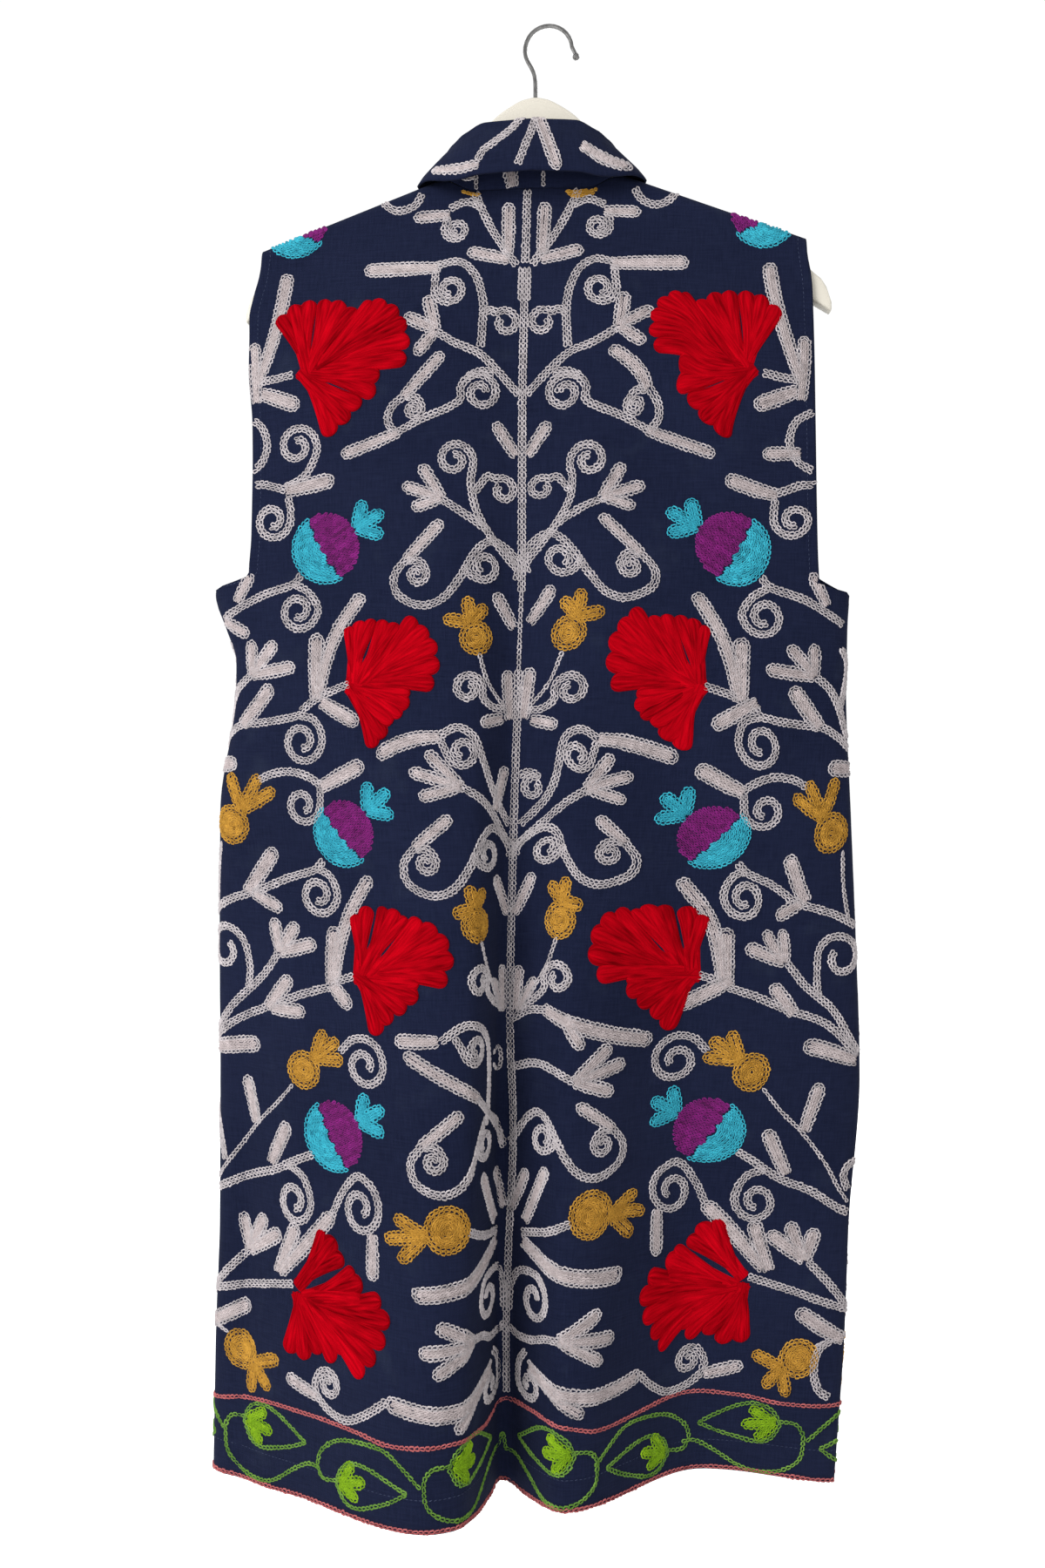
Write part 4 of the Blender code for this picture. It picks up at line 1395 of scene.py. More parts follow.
@dataclass(frozen=True)
class Crook:
    """The side shoot that repeats down the stem: a leaf, a deep curve and two small spirals."""

    tip: Pair
    base: Pair
    foot: float

    def rows(self) -> list[Row]:
        """The shoot's rows, placed from the leaf's base."""
        u, v = self.base
        rows = Leaf(self.base, self.tip, 10.0).rows()
        rows += Vine(((u, v), (u + 9, v + 12), (u + 6, v + 26), (u - 11, v + 34), (u - 27, v + 29),
                      (u - 40, v + 13), (u - 51, v - 5), (u - 63, v - 14), (u - 75, v - 9),
                      (u - 84, v + 2), (3.0, self.foot))).rows()
        rows += Scroll(((u - 1, v + 1), (u - 10, v + 1), (u - 15, v + 8)), (u - 8, v + 11), -1,
                       1.05, 0.42).rows()
        rows += Scroll(((u - 42, v + 5), (u - 48, v + 12), (u - 56, v + 15)), (u - 58, v + 5), 1,
                       0.95, 0.55).rows()
        return rows


CENTRAL_MOTIFS = (
    Vine(((0, 64), (0, 88)), 3),
    Vine(((40, -2), (34, 14), (22, 38), (6, 62))),
    Vine(((34, 14), (46, 9), (58, 14))),
    Leaf((58, 18), (85, 19), 10.0),
    Scroll(((60, 20), (62, 31)), (53, 31), 1, 1.3),
    Leaf((13, 53), (14, 12), 10.5),
    Leaf((12, 58), (43, 50), 10.5),
    Leaf((64, 61), (121, 60), 12.0),
    Vine(((66, 60), (50, 58), (38, 68), (31, 88), (31, 112), (32, 124))),
    Scroll(((66, 62), (67, 78)), (55, 80), 1, 1.3),
    Scroll(((31, 99), (25, 95), (21, 98)), (13.5, 105), -1, 1.0, 0.45),
    Tulip((65, 111), ((72, 84), (89, 99), (80, 129)), 10.5),
    Vine(((64, 112), (50, 121), (33, 128), (20, 140), (3, 158))),
    Vine(((112, 3), (105, 11), (96, 14), (85, 10), (80, 1))),
    Pomegranate((177, 23), (158, -8), 25.0),
    Leaf((4, 204), (20, 180), 10.0),
    Leaf((88, 160), (59, 128), 10.0),
    Vine(((89, 160), (98, 168), (100, 179), (93, 188))),
    Scroll(((87, 161), (79, 161), (75, 167)), (81, 170), -1, 1.1, 0.35),
    Leaf((92, 187), (135, 203), 10.0),
    Scroll(((93, 187), (76, 178), (58, 171), (46, 164)), (31, 158), -1, 1.55, 0.26),
    Vine(((41, 147), (31, 142), (22, 143))),
    Scroll(((3, 288), (25, 262), (35, 243), (38, 224), (36, 210)), (50, 208), 1, 1.3, 0.28),
    Tulip((60, 237), ((75, 212), (89, 227), (82, 244)), 10.0),
    Vine(((60, 238), (44, 248), (27, 260))),
    Scroll(((35, 232), (26, 220), (20, 222)), (14, 230), -1, 1.0, 0.45),
    Crook((59, 254), (86, 282), 296.0),
    Leaf((4, 331), (20, 306), 10.0),
    Bud((34, 339), 13.0, (38, 329), ((58, 325), (41, 309), (27, 315))),
    Vine(((32, 351), (25, 372), (8, 392)), 1),
    Scroll(((10, 391), (21, 390), (30, 383)), (41, 377), 1, 1.3, 0.3),
    Leaf((6, 398), (9, 362), 11.0),
    Leaf((12, 398), (32, 402), 10.0),
    Leaf((62, 412), (110, 426), 12.0, -4.0),
    Vine(((62, 411), (50, 405), (38, 411), (30, 430), (20, 452), (3, 476))),
    Scroll(((62, 413), (58, 424)), (46, 423), 1, 1.2, 0.35),
    Tulip((49, 448), ((73, 423), (86, 437), (80, 456)), 10.0),
    Vine(((50, 448), (36, 456), (22, 468), (3, 492))),
    Crook((58, 470), (86, 492), 500.0),
    Leaf((3, 542), (19, 514), 10.0),
    Bud((43, 547), 13.5, (45, 536), ((61, 539), (48, 519), (34, 522))),
    Vine(((40, 559), (30, 582), (6, 614)), 1),
    Scroll(((8, 612), (22, 604), (32, 595)), (43, 588), 1, 1.25, 0.3),
    Leaf((6, 613), (8, 580), 10.0),
    Leaf((8, 612), (22, 588), 9.0),
    Crook((64, 678), (94, 700), 712.0),
    Leaf((17, 768), (41, 727), 11.0),
    Leaf((3, 760), (18, 729), 10.0),
    Bud((79, 758), 17.5, (96, 762), ((118, 751), (126, 767), (115, 781))),
    Vine(((63, 762), (40, 771), (14, 776))),
    Leaf((14, 782), (106, 803), 12.5, 5.0),
    Scroll(((2, 836), (4, 815), (14, 804), (30, 803)), (29, 820), 1, 1.2, 0.3),
    Tulip((58, 841), ((89, 824), (102, 843), (92, 859)), 11.0),
    Vine(((58, 841), (44, 843), (26, 850), (10, 852), (2, 849))),
    Scroll(((20, 862), (13, 871), (11, 884)), (25, 887), -1, 1.2, 0.3, 0.85),
    Leaf((22, 872), (128, 879), 13.0, 9.0),
    Leaf((46, 880), (77, 898), 10.5),
    Vine(((128, 879), (145, 891), (163, 900), (180, 898), (191, 890))),
    Scroll(((190, 891), (193, 882), (189, 873)), (180, 879), -1, 1.3, 0.3),
    Leaf((192, 890), (220, 882), 10.5),
)

SIDE_MOTIFS = (
    Leaf((203, 146), (181, 60), 11.5, -4.0),
    Leaf((203, 158), (206, 112), 11.0),
    Leaf((199, 152), (168, 164), 12.5),
    Vine(((200, 143), (187, 142), (174, 140))),
    Carnation((
        ((162, 134), ((186, 92), (175, 84), (163, 81))),
        ((159, 134), ((150, 81), (138, 83), (126, 90))),
        ((155, 135), ((114, 85), (104, 85), (94, 91), (87, 102), (84, 116))),
        ((157, 137), ((86, 130),)),
        ((160, 138), ((106, 142), (109, 156))),
        ((164, 140), ((120, 165), (130, 177), (142, 187))))),
    Vine(((212, 168), (199, 176), (194, 191), (199, 204), (210, 211))),
    Leaf((180, 226), (141, 220), 12.5),
    Vine(((212, 221), (198, 221), (180, 226))),
    Scroll(((178, 231), (176, 243)), (191, 248), -1, 1.35, 0.3),
    Pomegranate((148, 271), (111, 250), 27.0),
    Vine(((168, 290), (175, 297), (203, 305), (236, 320))),
    Scroll(((173, 297), (161, 304), (154, 315)), (170, 317), -1, 1.35, 0.3),
    Leaf((222, 308), (209, 287), 10.0),
    Tulip((212, 363), ((211, 337), (190, 339), (174, 358)), 11.0),
    Vine(((214, 363), (228, 374), (239, 390), (247, 408))),
    Vine(((236, 338), (243, 354), (238, 388))),
    Leaf((157, 384), (155, 335), 13.0),
    Leaf((154, 378), (120, 306), 11.0, 6.0),
    Vine(((170, 392), (158, 384), (142, 377), (130, 373))),
    Vine(((250, 416), (228, 402), (206, 399), (186, 397), (170, 394))),
    Leaf((223, 401), (195, 372), 12.5),
    Scroll(((172, 395), (160, 398), (154, 409)), (171, 414), -1, 1.3, 0.3),
    Leaf((252, 431), (229, 430), 12.5),
    Carnation((
        ((127, 368), ((129, 329), (120, 325), (111, 324))),
        ((120, 368), ((102, 325), (92, 328))),
        ((119, 371), ((79, 324), (70, 332), (63, 343), (61, 357), (65, 372))),
        ((121, 374), ((83, 379), (84, 388), (90, 396))),
        ((127, 377), ((97, 401), (104, 412), (112, 419))))),
    Bud((237, 476), 15.5, (224, 462), ((236, 437), (210, 439), (197, 450))),
    Vine(((209, 443), (196, 438), (180, 437), (166, 441), (157, 447))),
    Leaf((158, 448), (122, 431), 12.5),
    Scroll(((158, 448), (159, 459)), (174, 461), -1, 1.25, 0.3),
    Vine(((250, 490), (256, 512), (262, 540)), 1),
    Pomegranate((141, 482), (115, 461), 25.0),
    Vine(((160, 503), (168, 510), (190, 516), (218, 526), (246, 534), (268, 545))),
    Scroll(((166, 509), (156, 514), (151, 526)), (167, 528), -1, 1.35, 0.3),
    Leaf((229, 527), (200, 494), 13.0),
    Leaf((224, 528), (200, 539), 11.0),
    Scroll(((236, 600), (233, 584), (235, 568)), (255, 571), 1, 1.1, 0.35),
    Tulip((204, 571), ((207, 546), (187, 549), (172, 563)), 11.5),
    Vine(((206, 572), (222, 590), (250, 612), (278, 641))),
    Leaf((161, 592), (155, 550), 13.5),
    Leaf((157, 588), (122, 514), 10.5, 6.0),
    Vine(((162, 592), (152, 589), (142, 586))),
    Vine(((162, 594), (185, 600), (205, 607), (245, 622), (278, 641))),
    Leaf((219, 613), (196, 589), 12.0),
    Leaf((276, 646), (230, 640), 13.0),
    Carnation((
        ((137, 580), ((137, 541), (127, 535))),
        ((133, 581), ((113, 535), (103, 537), (96, 542))),
        ((127, 583), ((86, 543), (75, 548), (67, 557), (64, 570), (69, 585))),
        ((137, 587), ((90, 588), (91, 598), (101, 608), (114, 618), (125, 627))))),
    Bud((190, 656), 14.5, (177, 644), ((170, 626), (158, 632), (155, 646))),
    Scroll(((157, 641), (147, 632), (136, 630)), (137, 649), -1, 1.35, 0.24, 1.0),
    Vine(((201, 668), (218, 684), (237, 700), (258, 722), (282, 747)), 1),
    Leaf((239, 700), (245, 666), 11.5),
    Pomegranate((167, 702), (137, 686), 26.0),
    Vine(((188, 717), (208, 725), (222, 732), (250, 741), (282, 754))),
    Scroll(((211, 727), (198, 734), (192, 748)), (207, 753), -1, 1.3, 0.3, 1.15),
    Leaf((227, 729), (208, 697), 12.0),
    Leaf((222, 807), (172, 758), 12.0),
    Scroll(((173, 758), (163, 741), (150, 727)), (147, 749), -1, 1.45, 0.22, 1.15),
    Leaf((137, 766), (138, 798), 11.0),
    Leaf((226, 808), (206, 769), 12.0),
    Vine(((298, 833), (250, 822), (211, 814))),
    Tulip((253, 797), ((258, 770), (236, 768), (221, 778)), 12.0),
    Vine(((255, 798), (275, 815), (298, 837))),
    Carnation((
        ((204, 812), ((181, 771), (171, 775), (164, 786))),
        ((198, 821), ((154, 794), (147, 801), (147, 813))),
        ((198, 824), ((131, 811), (124, 824), (128, 840), (137, 855), (148, 867))),
        ((201, 826), ((163, 853), (175, 863))),
        ((207, 824), ((188, 860), (203, 867), (218, 865))))),
    Leaf((297, 858), (255, 837), 12.5),
    Bud((265, 873), 15.5, (251, 882), ((257, 903), (238, 897), (228, 872))),
    Vine(((276, 862), (290, 857)), 1),
)

LEFT_MOTIFS = (
    Vine(((286, 688), (277, 704), (272, 732))),
    Leaf((216, 613), (186, 614), 11.5),
    Leaf((160, 593), (146, 609), 12.5),
    Leaf((153, 385), (124, 402), 12.5),
    Leaf((236, 322), (213, 334), 10.0),
    Scroll(((180, 224), (165, 217), (156, 204)), (170, 194), 1, 1.4, 0.26),
    Cap(34, 52, 4.5),
    Leaf((78, 628), (110, 629), 11.0),
    Vine(((76, 628), (64, 620), (54, 617), (40, 622), (31, 633), (29, 649), (29, 664), (31, 680), (35, 692))),
    Vine(((21, 643), (14, 639), (8, 645), (9, 654), (16, 656), (21, 650)), 1),
    Scroll(((66, 626), (61, 634)), (49, 635), 1, 1.3, 0.3),
    Leaf((48, 671), (104, 638), 10.5),
    Vine(((49, 670), (34, 682), (21, 692), (3, 716))),
    Leaf((18, 465), (8, 433), 10.0),
)
RIGHT_MOTIFS = (
    Leaf((205, 203), (177, 204), 11.0),
    Leaf((178, 386), (146, 404), 12.5),
    Leaf((178, 591), (140, 611), 12.5),
    Vine(((276, 862), (268, 868), (265, 882), (269, 898), (278, 905))),
    Vine(((286, 727), (278, 730), (275, 738), (280, 748))),
    Cap(28, 54, 8.5),
    Vine(((2, 620), (16, 612), (34, 610))),
    Leaf((32, 610), (120, 634), 12.5, 3.0),
    Leaf((50, 615), (65, 637), 10.0),
    Tulip((60, 660), ((86, 635), (98, 648), (90, 669)), 11.0),
    Vine(((60, 660), (40, 652), (22, 650), (3, 656))),
    Scroll(((3, 440), (10, 437), (18, 441)), (14, 449), -1, 1.0, 0.45),
)
# How far the right hand's drawing strays from the left's: a place, and the step from it, mm.
STRAY = (
    (180, 226, 7, 12), (141, 220, 10, 2), (191, 248, 13, 2), (148, 271, 7.5, 2), (111, 250, 3, 0),
    (170, 317, 13, 12), (168, 290, 8, 3), (205, 305, 13, 8), (236, 320, 7, 10), (222, 308, 2, 7),
    (209, 287, 2, 1), (198, 190, 3, 3), (160, 134, 3, 1), (203, 150, 4, 6), (168, 164, 2, 8),
    (157, 384, 8, 1), (155, 335, 8, 1), (120, 306, 9, 0), (120, 370, 9, 2), (85, 360, 9, 2),
    (212, 363, 7, 3), (206, 399, 0, 3), (171, 414, 15, 2), (195, 372, 12, 5), (229, 430, 5, 4),
    (237, 476, 4, 7), (210, 441, 13, 8), (180, 437, 15, 5), (158, 448, 15, 8), (122, 431, 20, 3),
    (174, 461, 23, 3), (141, 482, 12, 3), (115, 461, 8, 3), (160, 503, 14, -3), (190, 516, 10, 5),
    (268, 545, 0, 7), (167, 528, 17, 3), (229, 527, -4, 7), (200, 494, 12, 7), (224, 532, -4, 7),
    (204, 571, 12, 10), (255, 571, 3, 3), (161, 592, 17, 2), (155, 550, 17, 2), (157, 588, 12, 3),
    (122, 514, 9, 3), (170, 594, 14, 2), (219, 613, 7, 4), (196, 589, 12, 4), (230, 640, 3, -4),
    (276, 646, 0, 7), (105, 580, 5, 0), (135, 582, 5, 0), (190, 656, 13, 3), (158, 636, 10, 5),
    (137, 649, 2, 0), (201, 668, 7, 5), (239, 700, 0, 0), (245, 666, 9, 3), (167, 702, 3, 0),
    (227, 729, 8, 13), (208, 697, 8, 12), (188, 717, 8, -3), (222, 732, 4, 8), (282, 754, 0, 13),
    (207, 753, 8, 3), (150, 745, 0, 2), (222, 800, 0, 1), (172, 760, 0, 0), (253, 797, 0, 5),
    (276, 815, 0, 8), (298, 837, 0, 12), (200, 820, 2, 0), (150, 830, 0, 0), (265, 873, -13, 3),
    (297, 858, -16, 0), (255, 837, -7, 0), (65, 111, 3, 3), (80, 129, 14, -12), (75, 316, 2, -8),
    (59, 311, 0, -8), (28, 287, -3, -8), (35, 272, 0, -6), (75, 526, -5, -8), (59, 521, -3, -8),
    (83, 734, -2, -5), (41, 309, 9, -4), (58, 325, 9, -3), (27, 315, 7, -5), (34, 339, -2, -2),
    (49, 448, 11, 1), (73, 423, -2, 5), (20, 390, -2, 0), (60, 60, 0, 0), (30, 110, 0, 0),
    (31, 158, 0, 0), (92, 187, 0, 0), (50, 208, 0, 0), (62, 412, 0, 0), (43, 547, 0, 0),
    (80, 758, 0, 0), (58, 842, -1, 6), (95, 842, -2, 6), (120, 766, -3, -12), (110, 803, 0, 0),
    (75, 800, 0, 0), (60, 875, 0, 0), (180, 890, -10, 0), (210, 886, -8, 0),
)
STRAY_REACH = 20.0
STEM = (
    Vine(((0, -2), (0, 60))),
    Vine(((0, 86), (0, 304))),
    Vine(((0, 304), (0, 362)), 1),
    Vine(((0, 362), (1, 600), (5, 700), (2, 780), (0, 840), (0, 900))),
)
BORDER = (
    BorderLeaf((-354, 943), 1, False),
    BorderLeaf((-264, 922), 1, True),
    BorderLeaf((-174, 945), 1, False),
    BorderLeaf((-82, 921), 1, True),
    BorderLeaf((71, 924), -1, True),
    BorderLeaf((158, 946), -1, False),
    BorderLeaf((243, 925), -1, True),
    BorderLeaf((334, 947), -1, False),
    Vine(((-10, 939), (-4, 930), (-1, 942)), 1, Yarn.GREEN),
)
SALMON_ROW = ((-330, 915), (-299, 914), (-240, 906), (-160, 906), (-127, 909), (-75, 906), (-34, 911),
              (0, 905), (59, 906), (100, 911), (170, 904), (216, 906), (251, 911), (330, 910))
HEM_EDGE_V = 964.6
HEM_STITCH_V = 943.0
ARMHOLE_STITCH_IN = 7.0
MOTIF_DRIFT = 0.6           # how far a motif may stray from its chart, mm
BORDER_DRIFT = 0.4
STAND_DRIFT = 0.3
SEAM_REACH = 330.0          # rows round the hem run this far from the middle, mm


def strayed(places: Array) -> Array:
    """Places of the side chart where the right hand's drawing has them.

    Args:
        places: Chart places, mm.

    Returns:
        The places moved.
    """
    table = np.array(STRAY, float)
    apart = places[..., None, :] - table[:, :2]
    near = np.exp(-(apart ** 2).sum(axis=-1) / (2.0 * STRAY_REACH ** 2))
    return places + near @ table[:, 2:] / (near.sum(axis=-1, keepdims=True) + 0.1)


@dataclass
class Needlework:
    """Stitches of one panel, gathered by yarn and made into joined meshes."""

    name: str
    patches: Callable[[Array, Array], Patch]
    holds: Callable[[Array, Array], Array]
    rng: Rng
    plain: bool = False
    rows: dict[str, list[Row]] = field(default_factory=dict)
    pads: dict[str, list[Pad]] = field(default_factory=dict)

    def pad(self, group: str, flower: Carnation, hand: int,
            move: Callable[[Array], Array]) -> None:
        """Add a carnation's fingers, turned to one hand.

        Args:
            group: Which part of the panel they belong to.
            flower: The carnation.
            hand: -1 turns the chart over to the left.
            move: Where the hand's drawing has the chart's places.
        """
        stray = self.rng.uniform(-1.0, 1.0, 2)
        for pad in flower.pads(self.rng):
            pad.places = move(pad.places) * (hand, 1.0) + stray
            self.pads.setdefault(f"{group}_red", []).append(pad)

    def add(self, group: str, rows: list[Row], hand: int = 1, drift: float = 0.0,
            move: Callable[[Array], Array] = np.array) -> None:
        """Add a motif's rows, turned to one hand and drifted a little as hand work is.

        Args:
            group: Which part of the panel they belong to.
            rows: The rows.
            hand: -1 turns the chart over to the left.
            drift: How far the motif may stray, mm.
            move: Where the hand's drawing has the chart's places.
        """
        stray = self.rng.uniform(-drift, drift, 2)
        for row in rows:
            if self.plain and row.stitch is FILLING:
                row.stitch = CLOSE_CHAIN
            line = move(row.line) * (hand, 1.0) + stray
            self.rows.setdefault(f"{group}_{row.yarn.name.lower()}", []).append(
                Row(line, row.yarn, row.stitch))

    def stitches(self, row: Row) -> Array:
        """Places and headings of a row's stitches.

        Args:
            row: The row.

        Returns:
            An array of u, v, heading across, heading down, length and shade for each stitch.
        """
        run = np.concatenate(([0.0], np.cumsum(np.hypot(*np.diff(row.line, axis=0).T))))
        count = max(1, int(round(run[-1] / row.stitch.pitch / (PLAIN_STRETCH if self.plain else 1.0))))
        pitch = run[-1] / count
        middle = (np.arange(count) + 0.5) * pitch
        ends = []
        for side in (-0.5, 0.5):
            at = middle + side * pitch
            ends.append(np.stack([np.interp(at, run, row.line[:, axis]) for axis in (0, 1)], axis=1))
        heading = unit(ends[1] - ends[0])
        spot = (ends[0] + ends[1]) / 2.0
        shade = SHADE + self.rng.normal(0.0, SHADE_SPREAD, count) + self.rng.normal(0.0, ROW_SHADE_SPREAD)
        stretch = np.full(count, pitch / row.stitch.pitch)
        return np.column_stack((spot, heading, stretch, np.clip(shade, 0.0, 1.0)))

    def build(self) -> list[Thing]:
        """Make each group of one yarn one joined mesh.

        Returns:
            The objects.
        """
        pieces = []
        for group, rows in sorted(self.rows.items()):
            points = []
            faces = []
            shades = []
            start = 0
            for stitch in dict.fromkeys(row.stitch for row in rows):
                table = np.vstack([self.stitches(row) for row in rows if row.stitch is stitch])
                table = table[self.holds(table[:, 0], table[:, 1])]
                if not len(table):
                    continue
                place, sides, shade = self.place(stitch, table)
                points.append(place)
                faces.append(sides + start)
                shades.append(shade)
                start += len(place)
            if not points:
                continue
            pieces.append(self.joined(group, points, faces, shades, rows[0].yarn))
        return pieces + [self.satin(group, pads) for group, pads in self.pads.items()]

    def satin(self, group: str, pads: list[Pad]) -> Thing:
        """Make the fingers of a group's carnations one joined mesh.

        Args:
            group: The group.
            pads: Its fingers.

        Returns:
            The object; its UV map runs across and along the fingers, in metres.
        """
        points = []
        faces = []
        fibres = []
        shades = []
        start = 0
        for pad in pads:
            along, across = pad.height.shape
            u = pad.places[..., 0].ravel()
            v = pad.places[..., 1].ravel()
            patch = self.patches(u, v)
            place = patch.spot + patch.out * pad.height.ravel()[:, None] * MM
            a = place.reshape(along, across, 3)
            turn = np.cross(a[-3, -1] - a[-3, 0], a[-2, across // 2] - a[2, across // 2])
            flip = float(np.dot(turn, patch.out[0])) > 0.0
            points.append(place)
            faces.append(grid_faces(along, across, flip) + start)
            start += len(place)
            run = np.cumsum(np.hypot(*np.diff(pad.places, axis=0, prepend=pad.places[:1]).T).T, axis=0)
            side = np.linspace(0.0, 9.0, across)[None] + 11.0 * len(points)
            fibres.append(np.stack(np.broadcast_arrays(side, run), axis=-1).reshape(-1, 2) * MM)
            shades.append(np.full(len(place), pad.shade))
        thing = self.joined(group, points, faces, shades, Yarn.RED)
        give_uv(thing, np.vstack(fibres), "fibre")
        return thing

    def joined(self, group: str, points: list, faces: list, shades: list, yarn: Yarn) -> Thing:
        """Make one mesh of a group's stitches.

        Args:
            group: The group.
            points: Points of each kind of stitch.
            faces: Their faces, counted through.
            shades: Shade of each point.
            yarn: The yarn, kept on the object until it is dressed.

        Returns:
            The object.
        """
        thing = new_mesh(f"{self.name}_{group}", np.vstack(points), np.vstack(faces))
        layer = thing.data.attributes.new("shade", "FLOAT", "POINT")
        layer.data.foreach_set("value", np.concatenate(shades).astype(np.float32))
        thing["yarn"] = yarn.name
        LOG.info("%s: %d triangles", thing.name, 2 * len(thing.data.polygons))
        return thing

    def place(self, stitch: Stitch, table: Array) -> tuple[Array, Array, Array]:
        """Set one kind of stitch on the cloth at each place.

        Args:
            stitch: The stitch.
            table: Its places, as from stitches().

        Returns:
            Points, faces and the shade of each point.
        """
        model, faces = stitch.model()
        count = len(table)
        patch = self.patches(table[:, 0], table[:, 1])
        swing = self.rng.normal(0.0, SWING_SPREAD, count)
        cos = np.cos(swing) * table[:, 2] - np.sin(swing) * table[:, 3]
        sin = np.sin(swing) * table[:, 2] + np.cos(swing) * table[:, 3]
        along = patch.across * cos[:, None] + patch.down * sin[:, None]
        aside = patch.across * -sin[:, None] + patch.down * cos[:, None]
        size = 1.0 + self.rng.normal(0.0, SIZE_SPREAD, (count, 3))
        a = model[None, :, 0] * table[:, 4, None] * size[:, 0, None]
        b = model[None, :, 1] * size[:, 1, None]
        h = model[None, :, 2] * size[:, 2, None]
        points = (patch.spot[:, None] + (along[:, None] * a[..., None] + aside[:, None] * b[..., None]
                                         + patch.out[:, None] * h[..., None]) * MM)
        if np.dot(np.cross(along[0], aside[0]), patch.out[0]) < 0.0:
            faces = faces[:, ::-1]
        faces = faces[None] + (np.arange(count) * len(model))[:, None, None]
        shade = np.repeat(table[:, 5], len(model))
        return points.reshape(-1, 3), faces.reshape(-1, 4), shade


@dataclass
class Cloth:
    """A panel's cloth and its embroidery, worked out on one draped half of the tube."""

    name: str
    tube: DrapedTube
    shares: Array
    ridge_angles: tuple[float, ...] = (2.0, 18.0, 36.0, 54.0, 72.0, 90.0)
    neck_drops: tuple[float, ...] = (0.0, 0.1, 0.25, 0.45, 0.7, 1.0)
    upper_rows: int = 48
    underarm_rows: tuple[float, ...] = (-0.398, -0.406, -0.4125, -0.4155, -0.4185, -0.4212, -0.4235, -0.4255,
                                         -0.4275, -0.4295, -0.4315)
    lower_rows: int = 106

    def heights(self, top: float, on_ridge: bool) -> Array:
        """Heights of a column's points, from its upper cut to the hem.

        Args:
            top: Height of the upper cut.
            on_ridge: Whether it is on the shoulder's ridge.

        Returns:
            The heights.
        """
        if on_ridge:
            start = [top - RIDGE_CAP * (1.0 - math.cos(math.radians(a))) for a in self.ridge_angles]
        else:
            start = [top - RIDGE_CAP * drop for drop in self.neck_drops]
        down = np.arange(1, self.upper_rows) / self.upper_rows
        upper = start[-1] + (self.underarm_rows[0] - start[-1]) * down
        underarm = self.underarm_rows[-1]
        lower = underarm + (HEM_Z - underarm) * (np.arange(1, self.lower_rows + 1) / self.lower_rows)
        return np.concatenate((start, upper, self.underarm_rows, lower))

    def column(self, share: float) -> tuple[Array, Array]:
        """Chart places of one column of the panel.

        Args:
            share: Its place across, signed for the back and from edge to seam for a front.

        Returns:
            Lengths of cloth from the middle, and heights.
        """
        raise NotImplementedError

    def blend(self, even: Array, top_x: float, top: float, z: Array, run: float = 1.0) -> Array:
        """Lengths that start straight below the shoulder and end evenly spread.

        Args:
            even: Evenly spread lengths.
            top_x: Place across at the upper cut.
            top: Height of the upper cut.
            z: Heights.
            run: How far down the change takes, as a share of the drape.

        Returns:
            The lengths.
        """
        straight = self.tube.length_at(np.full(len(z), top_x), z)
        return straight + (even - straight) * ease((top - z) / (DRAPE_LENGTH * run))

    def build(self) -> Thing:
        """Make the panel's cloth.

        Returns:
            Its object, a thin wall with the flat cloth as its UV map.
        """
        columns = [self.column(share) for share in self.shares]
        u = np.array([column[0] for column in columns]).T
        z = np.array([column[1] for column in columns]).T
        points = self.tube.place(u, z)
        rows, count = u.shape
        across = points[rows // 2, -1] - points[rows // 2, 0]
        flip = (across[0] > 0.0) == (self.tube.side is Side.FRONT)
        thing = new_mesh(self.name, points.reshape(-1, 3), grid_faces(rows, count, flip))
        give_uv(thing, np.stack((u.ravel(), z.ravel()), axis=1))
        thicken(thing, SHELL)
        thing.data.shade_smooth()
        return thing


@dataclass
class BackCloth(Cloth):
    """The back, cut in one piece."""

    def column(self, share: float) -> tuple[Array, Array]:
        """Chart places of one column, shares from -1 to 1 (see Cloth)."""
        hand = -1 if share < 0 else 1
        out = abs(share) * SHOULDER_TIP_R
        top = float(back_top_z(out))
        z = self.heights(top, abs(share) >= NECK_POINT - 1e-9)
        even = self.tube.edge(z, hand) * abs(share)
        return self.blend(even, CENTRE_X + hand * out, top, z, 1.0 - 0.75 * abs(share) ** 8), z


@dataclass
class FrontCloth(Cloth):
    """One front, from its open edge to the side seam."""

    hand: int = 1

    def column(self, share: float) -> tuple[Array, Array]:
        """Chart places of one column, shares from 0 to 1 (see Cloth)."""
        out = FRONT_EDGE_TOP_R + share * (SHOULDER_TIP_R - FRONT_EDGE_TOP_R)
        top = float(front_top_z(out))
        z = self.heights(top, out >= NECK_POINT * SHOULDER_TIP_R - 1e-9)
        edge = self.tube.length_at(CENTRE_X + self.hand * front_edge_out(z), z)
        even = edge + (self.tube.edge(z, self.hand) - edge) * share
        return self.blend(even, CENTRE_X + self.hand * out, top, z), z


